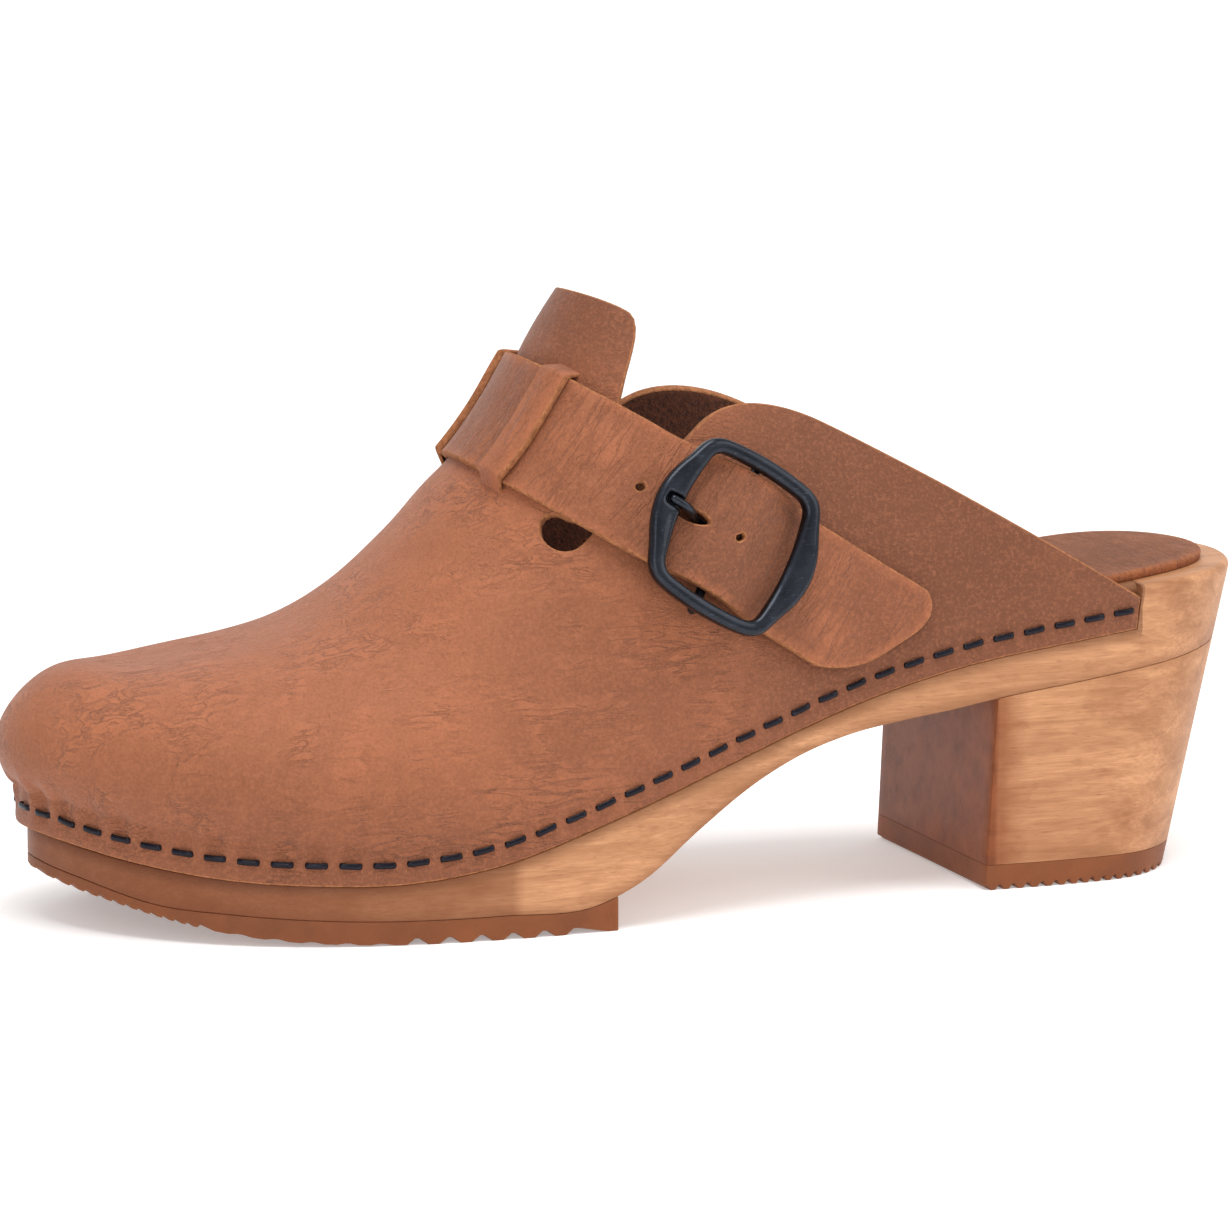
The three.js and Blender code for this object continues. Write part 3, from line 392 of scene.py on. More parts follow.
def hide_piece(name, outer, inner, faces, finishes, lay=None, attributes=None, bulge=0.42,
               turns=6, weld=None):
    """A piece of leather from its two faces: the same points on each, and a rim that swells
    between them like a flattened half circle."""
    outer, inner = np.asarray(outer), np.asarray(inner)
    if weld is not None:
        faces = [[int(weld[p]) for p in f] for f in faces]
        faces = [[p for k, p in enumerate(f) if p != f[k - 1]] for f in faces]
        faces = [f for f in faces if len(set(f)) == len(f) > 2]
    used = np.unique(np.concatenate([np.asarray(f) for f in faces]))
    new = np.full(len(outer), -1)
    new[used] = np.arange(len(used))
    outer, inner = outer[used], inner[used]
    lay = lay[used] if lay is not None else None
    attributes = {k: np.asarray(a)[used] for k, a in (attributes or {}).items()}
    faces = [new[np.asarray(f)] for f in faces]
    first = faces[len(faces) // 2]
    way = np.cross(outer[first[1]] - outer[first[0]], outer[first[2]] - outer[first[0]])
    if way @ (outer[first[0]] - inner[first[0]]) < 0:
        faces = [f[::-1] for f in faces]
    start = np.concatenate(faces)
    end = np.concatenate([np.roll(f, -1) for f in faces])
    n = len(outer)
    free = ~np.isin(start * n + end, end * n + start)
    a, b = start[free], end[free]
    off = unit(outer - inner)
    side = np.zeros_like(outer)
    out = np.cross(unit(outer[b] - outer[a]), off[a])
    np.add.at(side, a, out)
    np.add.at(side, b, out)
    rim = np.unique(np.concatenate([a, b]))
    place = np.full(n, -1)
    place[rim] = np.arange(len(rim))
    side = unit(side[rim])
    mid, half = (outer[rim] + inner[rim]) / 2, (outer[rim] - inner[rim]) / 2
    verts, all_lay = [outer, inner], [lay, lay]
    extra = {k: [v, v] for k, v in attributes.items()}
    for k in range(1, turns):
        angle = math.pi * k / turns
        c, s = math.cos(angle), math.sin(angle)
        verts.append(mid + math.copysign(abs(c) ** 0.75, c) * half + s**0.7 * bulge * side)
        all_lay.append(lay[rim] if lay is not None else None)
        for key in extra:
            extra[key].append(attributes[key][rim])

    def row(k, points):
        if k == 0:
            return points
        if k == turns:
            return points + n
        return 2 * n + (k - 1) * len(rim) + place[points]

    all_faces = list(faces) + [f[::-1] + n for f in faces]
    kinds = [0] * len(faces) + [1] * len(faces)
    for k in range(turns):
        strip = np.stack([row(k, b), row(k, a), row(k + 1, a), row(k + 1, b)], 1)
        all_faces += list(strip)
        kinds += [2] * len(strip)
    return new_piece(name, np.concatenate(verts), all_faces, finishes, kinds,
                     {k: np.concatenate(v) for k, v in extra.items()},
                     np.concatenate(all_lay) if lay is not None else None)


def block(name, outer, inner, rows, finish, floor=None, roof=None, across=20, warp=raked,
          sharp=38):
    """A solid stood on a plan outline. outer and inner are its two sides from front to back; rows
    give the wall from the floor up, each as the inset and height at points of the outline. Lines
    across join the two sides on the floor and on the roof."""
    n, k = len(outer), np.linspace(0, 1, across + 1)
    grid = outer[:, None] * (1 - k[:, None]) + inner[:, None] * k[:, None]
    loop_i = np.concatenate([np.arange(n), np.full(across, n - 1), np.arange(n - 2, -1, -1),
                             np.zeros(across - 1, int)])
    loop_k = np.concatenate([np.zeros(n, int), np.arange(1, across + 1), np.full(n - 1, across),
                             np.arange(across - 1, 0, -1)])
    loop = grid[loop_i, loop_k]
    along = np.roll(loop, -1, 0) - np.roll(loop, 1, 0)
    out = np.stack([along[:, 1], -along[:, 0]], 1)
    ahead = np.sign(loop[:, :1] - loop[:, 0].mean()) * [1.0, 0.0]
    out = unit(np.where(np.linalg.norm(out, axis=1, keepdims=True) < 1e-6, ahead, out))
    size = len(loop)
    verts = []
    for row in rows:
        inset, height = row(loop[:, 0], loop[:, 1])
        plan = loop - out * np.broadcast_to(inset, size)[:, None]
        verts.append(np.column_stack([plan, np.broadcast_to(height, size)]))
    wall = quads(len(rows), size, closed=True)[:, ::-1]
    faces = list(wall)
    count = len(rows) * size
    for ring, shape, down in ((0, floor, True), (len(rows) - 1, roof, False)):
        index = np.full((n, across + 1), -1)
        index[loop_i, loop_k] = np.arange(size) + ring * size
        inside = np.full((n, across + 1), False)
        inside[1:-1, 1:-1] = True
        plan = np.zeros((n, across + 1, 3))
        plan[loop_i, loop_k] = verts[ring]
        plan = plan[:, :1] * (1 - k[:, None]) + plan[:, -1:] * k[:, None]
        fill = plan[inside]
        if shape is not None:
            fill[:, 2] = shape(fill[:, 0], fill[:, 1])
        index[inside] = count + np.arange(len(fill))
        count += len(fill)
        verts.append(fill)
        cap = np.stack([index[:-1, :-1], index[1:, :-1], index[1:, 1:], index[:-1, 1:]],
                       -1).reshape(-1, 4)
        faces += list(cap[:, ::-1] if down else cap)
    points = np.concatenate(verts)
    if warp is not None:
        points[:, 0], points[:, 1] = warp(*points.T)
    piece = new_piece(name, points, faces, [finish])
    cleaned(piece)
    piece.data.set_sharp_from_angle(angle=math.radians(sharp))
    return piece


def sides(stations, offset=0.0):
    """The plank's two sides at the stations, moved inwards by offset."""
    if not offset:
        return tuple(np.column_stack([stations, edge_y(stations, np.full(len(stations), s))])
                     for s in (-1, 1))
    along = unit(np.roll(RING, -1, 0) - np.roll(RING, 1, 0))
    moved = RING + np.column_stack([along[:, 1], -along[:, 0]]) * offset
    out = []
    for half in (moved[:TIP + 1][::-1], moved[TIP:]):
        order = np.argsort(half[:, 0])
        out.append(np.column_stack([stations, np.interp(stations, half[order, 0], half[order, 1])]))
    return tuple(out)


def rounded(radius, line, up, steps=4):
    """Rows of a wall that turn out of the floor (up 1) or into the roof (up -1) on a quarter
    circle."""
    rows = []
    for angle in np.linspace(0, math.pi / 2, steps + 1):
        if up < 0:
            angle = math.pi / 2 - angle
        rows.append(lambda x, y, a=angle: (radius * (1 - math.sin(a)) + 0 * x,
                                           line(x) + up * radius * (1 - math.cos(a))))
    return rows


def tube(path, radius, around=16, across=(0.0, 1.0, 0.0), flat=1.0, ends=True):
    """A round bar along a path of points; its ends close in a half circle. across is a direction
    that never lies along the path, flat the section's thickness over its width."""
    path = np.asarray(path, float)
    along = unit(np.gradient(path, axis=0))
    width = unit(np.asarray(across) - along * (along @ np.asarray(across))[:, None])
    height = np.cross(along, width)
    radius = np.broadcast_to(radius, len(path)).astype(float)
    if ends:
        bow = np.linspace(math.pi / 2, 0.12, 5)[:, None]
        def cap(end, sign):
            centre = path[end] + sign * along[end] * radius[end] * np.sin(bow)
            return centre, radius[end] * np.cos(bow[:, 0])
        first, r_first = cap(0, -1)
        last, r_last = cap(-1, 1)
        path = np.concatenate([first, path, last[::-1]])
        radius = np.concatenate([r_first, radius, r_last[::-1]])
        width = np.concatenate([np.repeat(width[:1], 5, 0), width, np.repeat(width[-1:], 5, 0)])
        height = np.concatenate([np.repeat(height[:1], 5, 0), height,
                                 np.repeat(height[-1:], 5, 0)])
    turn = np.arange(around) / around * 2 * math.pi
    ring = (np.cos(turn)[None, :, None] * width[:, None] + flat * np.sin(turn)[None, :, None]
            * height[:, None]) * radius[:, None, None]
    points = path[:, None] + ring
    return points.reshape(-1, 3), quads(len(path), around, closed=True)


def joined(parts):
    """Points and faces of several pieces as one."""
    verts, faces, count = [], [], 0
    for points, polygons in parts:
        verts.append(points)
        faces += [np.asarray(p) + count for p in polygons]
        count += len(points)
    return np.concatenate(verts), faces


# ---- finishes -----------------------------------------------------------------------------------


class Value:
    """A number that varies over a surface. Arithmetic on it adds Math nodes."""

    def __init__(self, finish, socket):
        self.finish, self.socket = finish, socket

    def _math(self, operation, *inputs, clamp=False):
        node = self.finish.node("Math", dict(operation=operation, use_clamp=clamp),
                                dict(enumerate(inputs)))
        return Value(self.finish, node.outputs[0])

    def __add__(self, other):
        return self._math("ADD", self, other)

    def __mul__(self, other):
        return self._math("MULTIPLY", self, other)

    def __sub__(self, other):
        return self._math("SUBTRACT", self, other)

    def __rsub__(self, other):
        return self._math("SUBTRACT", other, self)

    def __truediv__(self, other):
        return self._math("DIVIDE", self, other)

    def __pow__(self, other):
        return self._math("POWER", self, other)

    def __abs__(self):
        return self._math("ABSOLUTE", self)

    __radd__, __rmul__ = __add__, __mul__

    def clamp(self):
        return self._math("ADD", self, 0.0, clamp=True)

    def between(self, low, high):
        """0 up to low, 1 from high, and a straight rise between."""
        return ((self - low) * (1 / (high - low))).clamp()


class Finish:
    """A material whose nodes are made by node()."""

    def __init__(self, name, roughness=0.6, **constants):
        self.material = bpy.data.materials.new(name)
        self.material.use_nodes = True
        self.tree = self.material.node_tree
        self.tree.nodes.clear()
        self.shader = self.node("BsdfPrincipled", {}, dict(Roughness=roughness, **constants))
        self.node("OutputMaterial", {}, dict(Surface=self.shader.outputs[0]))
        self.object = self.node("TexCoord", {}, {}).outputs["Object"]

    def node(self, kind, settings, inputs):
        made = self.tree.nodes.new("ShaderNode" + kind)
        for key, value in settings.items():
            if key == "stops":
                ramp = made.color_ramp
                while len(ramp.elements) < len(value):
                    ramp.elements.new(0.5)
                for element, (at, colour) in zip(ramp.elements, value):
                    element.position, element.color = at, (*colour, 1)
            else:
                setattr(made, key, value)
        for key, value in inputs.items():
            socket = made.inputs[key]
            if isinstance(value, Value):
                value = value.socket
            if isinstance(value, bpy.types.NodeSocket):
                self.tree.links.new(value, socket)
            elif hasattr(value, "__len__") and len(value) == 3 and socket.type == "RGBA":
                socket.default_value = (*value, 1)
            else:
                socket.default_value = value
        return made

    def space(self, stretch=(1, 1, 1), turn=(0, 0, 0), source=None):
        """Place on the object in millimetres, stretched: a pattern runs long where the number is
        small."""
        scale = [1000 * s for s in stretch] if source is None else [100 * s for s in stretch]
        return self.node("Mapping", {}, dict(
            Vector=self.object if source is None else source, Scale=scale,
            Rotation=turn)).outputs[0]

    def lay(self):
        """Place on the flat hide."""
        return self.node("UVMap", dict(uv_map="lay"), {}).outputs[0]

    def maker(self):
        """x, y and z in the maker's millimetres."""
        parts = self.node("SeparateXYZ", {}, dict(Vector=self.object)).outputs
        return [Value(self, parts[k]) * 1000 + float(SHIFT[k]) for k in range(3)]

    def attribute(self, name):
        return Value(self, self.node("Attribute", dict(attribute_name=name), {}).outputs["Fac"])

    def noise(self, space, size, detail=3.0, rough=0.5, twist=0.0):
        """Clouds about size millimetres across, 0 to 1."""
        return Value(self, self.node("TexNoise", {}, dict(
            Vector=space, Scale=1 / size, Detail=detail, Roughness=rough,
            Distortion=twist)).outputs[0])

    def cells(self, space, size, feature="DISTANCE_TO_EDGE"):
        return Value(self, self.node("TexVoronoi", dict(feature=feature), dict(
            Vector=space, Scale=1 / size)).outputs[0])

    def creases(self, space, size, width=0.06, detail=3.0, twist=0.6):
        """Thin lines where clouds pass through their middle value."""
        return 1 - (abs(self.noise(space, size, detail, 0.55, twist) - 0.5) * (1 / width)).clamp()

    def mix(self, factor, a, b, way="MIX"):
        made = self.node("Mix", dict(data_type="RGBA", blend_type=way), {0: factor, 6: a, 7: b})
        return made.outputs[2]

    def colour(self, socket):
        self.tree.links.new(socket, self.shader.inputs["Base Color"])

    def set(self, name, value):
        self.tree.links.new(value.socket, self.shader.inputs[name])

    def relief(self, *layers):
        """Bump from (height, depth in millimetres) layers, one over the other."""
        normal = None
        for height, depth in layers:
            inputs = dict(Height=height, Strength=1.0, Distance=depth / 1000)
            if normal is not None:
                inputs["Normal"] = normal
            normal = self.node("Bump", {}, inputs).outputs[0]
        self.tree.links.new(normal, self.shader.inputs["Normal"])


def tint(red, green, blue):
    """An 8-bit screen colour as linear light."""
    return tuple((c / 255 / 12.92) if c <= 10 else ((c / 255 + 0.055) / 1.055) ** 2.4
                 for c in (red, green, blue))


def shade(colour, factor, warm=0.0):
    """A colour made darker or lighter, and a little redder where warm is above 0."""
    return tuple(min(1.0, c * factor * (1 + warm * k)) for c, k in zip(colour, (1, 0, -1)))


def hide_finish(name, colour, strap=False, shine=0.32):
    """Oiled leather with a fine nap: broad cloudy tones, small mottling, creases that catch
    light on one side, and a dusty speckle; darker towards the stapled edge."""
    f = Finish(name, roughness=0.62, **{"Specular IOR Level": shine, "Sheen Weight": shine * 0.38,
                                        "Sheen Roughness": 0.45})
    place = f.space()
    x, _, z = f.maker()
    broad = f.noise(place, 42, 3, 0.55, 0.8)
    patches = f.noise(place, 13, 4, 0.6, 0.5)
    mottle = f.noise(place, 3.2, 5, 0.62)
    speck = f.noise(place, 0.7, 3, 0.7)
    out = f.mix(broad.between(0.36, 0.64), shade(colour, 0.66, 0.02), shade(colour, 1.14, 0.0))
    out = f.mix(patches.between(0.46, 0.72) * 0.55, out, shade(colour, 1.42, 0.02))
    out = f.mix((1 - patches.between(0.28, 0.48)) * 0.5, out, shade(colour, 0.6, 0.06))
    out = f.mix(mottle.between(0.3, 0.7) * 0.42, out, shade(colour, 0.6, 0.03))
    if strap:
        lay = f.lay()
        fan = f.creases(f.space((0.5, 0.11, 1), (0, 0, 0.5), lay), 1.25, 0.045, 4, 1.1)
        fold = f.creases(f.space((0.42, 0.05, 1), (0, 0, -0.35), lay), 2.6, 0.03, 3, 0.8)
        lines = (fan * 0.7 + fold) * patches.between(0.3, 0.55)
        rim = 1 - f.attribute("rise").between(0.0, 2.4)
        # Painted shade from the shade attribute: a line beside each loop, the stretch between the
        # loops, and round the buckle.
        out = f.mix(f.attribute("shade").clamp() * 0.62, out, shade(colour, 0.44, 0.02))
    else:
        side = f.creases(f.space((0.16, 0.5, 0.8), (0, -0.5, 0)), 1.5, 0.06, 4, 1.0)
        quarter = f.creases(f.space((0.11, 0.6, 0.75), (0, 0.42, 0)), 1.2, 0.045, 4, 0.9)
        behind = x.between(118, 150)
        lines = side * (1 - behind) * patches.between(0.4, 0.62) + quarter * behind * 0.35 \
            * patches.between(0.3, 0.6)
        rim = 1 - f.attribute("rise").between(1.0, 9.0)
        out = f.mix(behind * 0.8, out, shade(colour, 0.42, 0.02))
        # Painted highlight on the top of the vamp, where the overhead light falls.
        high = z.between(22, 44) * (1 - x.between(70, 112))
        out = f.mix(high * (0.25 + patches * 0.4), out, shade(colour, 1.5, -0.04))
        # Painted shade low on the vamp's front.
        low = (1 - z.between(24, 40)) * (1 - x.between(60, 110))
        out = f.mix(low * 0.4, out, shade(colour, 0.62, 0.03))
        crest = z.between(96, 112)
        out = f.mix(crest * 0.6, out, shade(colour, 0.42, 0.03))
        # Painted shade towards the stapled edge, where the upper meets the plank.
        out = f.mix(rim * (0.25 + patches * 0.5), out, shade(colour, 0.6, 0.05))
    # Painted shade along the crease lines, on top of their bump.
    out = f.mix(lines.clamp() * 0.42, out, shade(colour, 0.48, 0.05))
    if strap:
        # Lighter edges: on the strap and loops, wear and a painted highlight; on the pad, the cut
        # edge.
        out = f.mix(rim * mottle.between(0.25, 0.6) * 0.55, out, shade(colour, 1.5, 0.05))
    out = f.mix(speck.between(0.48, 0.74) * 0.42, out, shade(colour, 1.5, -0.06))
    out = f.mix((1 - speck.between(0.24, 0.48)) * 0.42, out, shade(colour, 0.5, 0.03))
    f.colour(out)
    f.set("Roughness", 0.54 + mottle * 0.2)
    pores = f.cells(place, 0.8)
    f.relief((broad, 1.2), (patches, 0.5), (lines.clamp(), -0.16), (mottle, 0.16),
             (pores.between(0.0, 0.22), 0.05), (speck, 0.07))
    return f.material


def suede_finish(name, colour):
    """The flesh side of the hide: dark, with clumps of short fibre."""
    f = Finish(name, roughness=0.9, **{"Specular IOR Level": 0.15, "Sheen Weight": 0.25,
                                       "Sheen Roughness": 0.6})
    place = f.space()
    clump = f.noise(place, 1.1, 4, 0.65)
    fine = f.noise(place, 0.45, 2, 0.6)
    cloud = f.noise(place, 12, 3)
    out = f.mix(clump.between(0.36, 0.66), shade(colour, 0.42), shade(colour, 1.25, 0.05))
    out = f.mix(fine.between(0.5, 0.8) * 0.5, out, shade(colour, 1.8, 0.03))
    out = f.mix(cloud.between(0.35, 0.7) * 0.35, out, shade(colour, 0.6))
    f.colour(out)
    f.relief((clump, 0.5), (fine, 0.2))
    return f.material


def cut_edge_finish(name, colour):
    """The cut edge of the hide: paler fibre with dark nicks along it."""
    f = Finish(name, roughness=0.85, **{"Specular IOR Level": 0.2})
    place = f.space()
    fibre = f.noise(place, 0.9, 4, 0.7)
    cloud = f.noise(place, 7, 3)
    out = f.mix(fibre.between(0.35, 0.65), shade(colour, 0.5, 0.06), shade(colour, 1.15))
    out = f.mix(cloud.between(0.4, 0.7) * 0.5, out, shade(colour, 0.62, 0.05))
    f.colour(out)
    f.relief((fibre, 0.3))
    return f.material


def wood_finish(name, pale, stain, heel=False):
    """Oiled alder: long pale and dark grain along the shoe, pores as short dark dashes, a cloudy
    warm tone, and a dark stain over the toe that ends in a straight line across."""
    f = Finish(name, roughness=0.5, **{"Specular IOR Level": 0.25})
    x = f.maker()[0]
    grain_space = f.space((0.05, 0.7, 0.85), (0, 0.1 if heel else 0.26, 0))
    bands = f.noise(grain_space, 3.2, 5, 0.6, 0.9)
    fine = f.noise(f.space((0.045, 1, 1), (0, 0.1 if heel else 0.26, 0)), 0.42, 4, 0.65)
    pores = f.noise(f.space((0.12, 1.2, 1.2), (0, 0.1 if heel else 0.26, 0)), 0.3, 2, 0.5)
    cloud = f.noise(f.space((0.5, 0.8, 1)), 15, 4, 0.6, 0.7)
    spots = f.noise(f.space((0.6, 1, 1)), 4.5, 4, 0.6)
    out = f.mix(bands.between(0.36, 0.62), shade(pale, 0.66, 0.12), shade(pale, 1.02, 0.04))
    out = f.mix(fine.between(0.4, 0.62) * 0.5, out, shade(pale, 0.55, 0.16))
    out = f.mix(cloud.between(0.45, 0.75) * (0.62 if heel else 0.5), out, stain)
    out = f.mix((1 - spots.between(0.25, 0.42)) * 0.3, out, shade(stain, 0.9))
    out = f.mix(pores.between(0.62, 0.78) * 0.35, out, shade(stain, 0.55))
    if heel:
        breast = 1 - (x + spots * 5 - 2.5).between(HEEL_FRONT + 1.0, HEEL_FRONT + 6.5)
        face = 1 - x.between(HEEL_FRONT - 0.4, HEEL_FRONT + 0.5)
        out = f.mix(breast * 0.72, out, shade(stain, 1.05, 0.05))
        out = f.mix(face * 0.8, out, shade(stain, 1.05, 0.1))
        out = f.mix(face * (1 - spots.between(0.3, 0.62)) * 0.6, out, shade(stain, 0.5, 0.1))
    else:
        wave = f.noise(f.space((1, 1, 1)), 9, 2) * 6 - 3
        front = 1 - (x + wave * 0.35).between(82.0, 84.6)
        far = 1 - (x + wave).between(40.0, 84.0)
        out = f.mix(front * (0.42 + cloud * 0.3), out, shade(stain, 0.85))
        out = f.mix(far * 0.62, out, shade(stain, 0.62, 0.3))
        # Painted shadow on the wood just under the leather's edge.
        painted_shadow_under_leather = 1 - f.attribute("drop").between(0.4, 2.6)
        out = f.mix(painted_shadow_under_leather * (0.3 + spots * 0.5), out, shade(stain, 0.5))
        # Painted shade on the wood along its lower edge, just above the underside.
        under = 1 - f.attribute("lift").between(0.3, 2.4)
        out = f.mix(under * 0.35, out, shade(stain, 0.75))
    f.colour(out)
    f.set("Roughness", 0.4 + fine * 0.16)
    f.relief((bands, 0.12), (fine, 0.06), (pores.between(0.6, 0.8), -0.05))
    return f.material


def rubber_finish(name, colour):
    """Moulded gum rubber: even, faintly cloudy, with a matt grain and pale scuffs."""
    f = Finish(name, roughness=0.55, **{"Specular IOR Level": 0.35, "Subsurface Weight": 0.05})
    place = f.space()
    cloud = f.noise(place, 9, 3)
    grain = f.noise(place, 0.5, 3, 0.6)
    scuff = f.noise(f.space((0.3, 1, 1)), 2.2, 4, 0.65)
    out = f.mix(cloud.between(0.3, 0.7), shade(colour, 0.82), shade(colour, 1.12))
    out = f.mix(scuff.between(0.62, 0.8) * 0.4, out, shade(colour, 1.45, -0.05))
    out = f.mix(grain.between(0.5, 0.8) * 0.2, out, shade(colour, 0.7))
    f.colour(out)
    f.set("Roughness", 0.48 + grain * 0.2)
    f.relief((grain, 0.06), (scuff, 0.08))
    return f.material


def metal_finish(name, dark, pale, wear=0.35, rough=0.34):
    """Blackened steel: a dark coat, paler where it is rubbed, with fine scratches."""
    f = Finish(name, roughness=rough, Metallic=0.95, **{"Coat Weight": 0.25})
    place = f.space()
    cloud = f.noise(place, 6, 4, 0.6)
    grit = f.noise(place, 0.35, 3, 0.6)
    scratch = f.noise(f.space((0.25, 1.4, 1.4), (0.4, 0.2, 0.5)), 0.5, 3, 0.6)
    out = f.mix(cloud.between(0.35, 0.7), dark, shade(dark, 1.7))
    out = f.mix(scratch.between(0.6, 0.8) * wear, out, pale)
    out = f.mix(grit.between(0.6, 0.85) * wear * 0.6, out, pale)
    f.colour(out)
    f.set("Roughness", rough - 0.05 + cloud * 0.16)
    f.relief((cloud, 0.12), (grit, 0.02))
    return f.material


def paper_finish(name, colour):
    """Matt studio paper with a faint tooth."""
    f = Finish(name, roughness=0.9, **{"Specular IOR Level": 0.1, "Emission Strength": 0.3,
                                       "Emission Color": (1, 1, 1, 1)})
    tooth = f.noise(f.space(), 3, 2)
    f.colour(f.mix(tooth * 0.02, colour, shade(colour, 0.96)))
    return f.material


_finishes = {}


def finish_of(kind):
    """The object's finishes, each made once from the colours in the panel."""
    if kind in _finishes:
        return _finishes[kind]
    c = bpy.context.scene.clog_colours
    make = {
        "upper": lambda: hide_finish("oiled nubuck", tuple(c.leather)),
        "strap": lambda: hide_finish("oiled nubuck strap", tuple(c.leather), strap=True),
        "pad": lambda: hide_finish("dark lining leather", tuple(c.pad), strap=True, shine=0.1),
        "suede": lambda: suede_finish("flesh side", tuple(c.suede)),
        "edge": lambda: cut_edge_finish("cut edge", tuple(c.cut_edge)),
        "plank": lambda: wood_finish("oiled alder plank", tuple(c.wood), tuple(c.stain)),
        "heel": lambda: wood_finish("oiled alder heel", tuple(c.wood), tuple(c.stain), heel=True),
        "rubber": lambda: rubber_finish("gum rubber", tuple(c.rubber)),
        "gunmetal": lambda: metal_finish("blackened steel", tuple(c.buckle), tint(120, 128, 142)),
        "staple": lambda: metal_finish("blued wire", tuple(c.staple), tint(110, 112, 130), 0.25,
                                       0.42),
        "steel": lambda: metal_finish("bright steel", tint(150, 150, 152), tint(205, 205, 205),
                                      0.5, 0.3),
        "paper": lambda: paper_finish("studio paper", tuple(c.floor)),
    }
    _finishes[kind] = make[kind]()
    return _finishes[kind]


# ---- the pieces ---------------------------------------------------------------------------------


def side_outline():
    """Side view of what is cut out of the upper, behind the tongue and above the quarters."""
    def bend(a, b, c, d, n=24):
        t = np.linspace(0, 1, n, endpoint=False)[:, None]
        a, b, c, d = (np.array(p, float) for p in (a, b, c, d))
        return (1 - t)**3 * a + 3 * (1 - t)**2 * t * b + 3 * (1 - t) * t**2 * c + t**3 * d
    return np.concatenate([
        bend((99.3, 76), (104, 84), (109, 94), (112.4, 103.5)),
        bend((112.4, 103.5), (114.3, 108), (117.4, 113.6), (115.4, 115.5)),
        bend((115.4, 115.5), (113.4, 117.2), (108, 119.4), (103, 121)),
        [(103, 121), (80, 150), (270, 150), (270, 60), (UPPER_REAR + 3, 55)],
        bend((UPPER_REAR - 1, 56.2), (196, 68.6), (171, 84), (153, 93)),
        bend((153, 93), (143, 98), (133, 99.5), (126.5, 94.5)),
        bend((126.5, 94.5), (117, 87), (109, 80.5), (101, 73.3)),
        bend((101, 73.3), (98, 69.8), (92.8, 71.8), (93.6, 75.6)),
        bend((93.6, 75.6), (94.2, 79), (97.5, 79), (99.3, 76))])


def depth_in(points, polygon):
    """Distance of points from a polygon's edge, above 0 inside it."""
    a, b = polygon, np.roll(polygon, -1, 0)
    best = np.full(len(points), np.inf)
    odd = np.zeros(len(points), bool)
    for p, q in zip(a, b):
        d = q - p
        if not d.any():
            continue
        t = np.clip(((points - p) @ d) / (d @ d), 0, 1)
        best = np.minimum(best, np.linalg.norm(points - p - t[:, None] * d, axis=1))
        if p[1] != q[1]:
            x = p[0] + (points[:, 1] - p[1]) / (q[1] - p[1]) * d[0]
            odd ^= ((p[1] > points[:, 1]) != (q[1] > points[:, 1])) & (points[:, 0] < x)
    return np.where(odd, best, -best)


def staple_runs():
    """Each side's line of staples: points and length along it."""
    q = 1 + SEAM_RISE / (SEAM_RISE + SEAM_DROP)
    runs = []
    for side, line in ((-1, OUTER), (1, INNER)):
        x = line[:, 0][(line[:, 0] > STAPLE_START) & (line[:, 0] < STAPLE_END)]
        p = skin(x, side * q + 0 * x)
        s = np.concatenate([[0], np.cumsum(np.linalg.norm(np.diff(p, axis=0), axis=1))])
        runs.append((x, p, s))
    return runs


RUNS = staple_runs()


def dress(x, q, pitch, depth):
    """How far the lasted leather stands out from the plain skin: a groove along the staples, and
    round the toe folds between them that die out a finger's width up."""
    top = staple_line(x) + SEAM_RISE
    z = skin(x, q)[..., 2]
    rise = z - (top - SEAM_RISE - SEAM_DROP)
    along = np.where(q < 0, np.interp(x, RUNS[0][0], RUNS[0][2]),
                     np.interp(x, RUNS[1][0], RUNS[1][2]))
    beat = np.cos(2 * np.pi * along / pitch)
    toe = 1 - smooth(x, 22, 95) * 0.82
    groove = -0.32 * np.exp(-((rise - SEAM_DROP) / 1.3) ** 2) * (0.6 + 0.4 * beat)
    lip = 0.16 * np.exp(-((rise - 0.9) / 1.1) ** 2) * (0.5 - 0.5 * beat)
    drift = np.sin(along * 0.31) + 0.6 * np.sin(along * 0.113 + 1.0)
    folds = -depth * toe * beat * (1 + 0.5 * drift) * np.exp(-((rise - 6.6) / 3.2) ** 2)
    slack = 0.32 * np.sin(x * 0.16 + z * 0.11) * np.sin(z * 0.09 - x * 0.045 + 0.8)
    slack = slack * smooth(rise, 10, 30)
    return groove + lip + folds + slack


def upper_points(x, q, pitch, depth):
    """Outer and inner face of the upper at x, q."""
    p = skin(x, q)
    n = skin_normal(x, q)
    tip = x <= TIP_X + 1e-6
    n = np.where(tip[..., None], unit(n * [1, 0, 1]), n)
    outer = p + n * dress(x, q, pitch, depth)[..., None]
    return outer, p - n * LEATHER


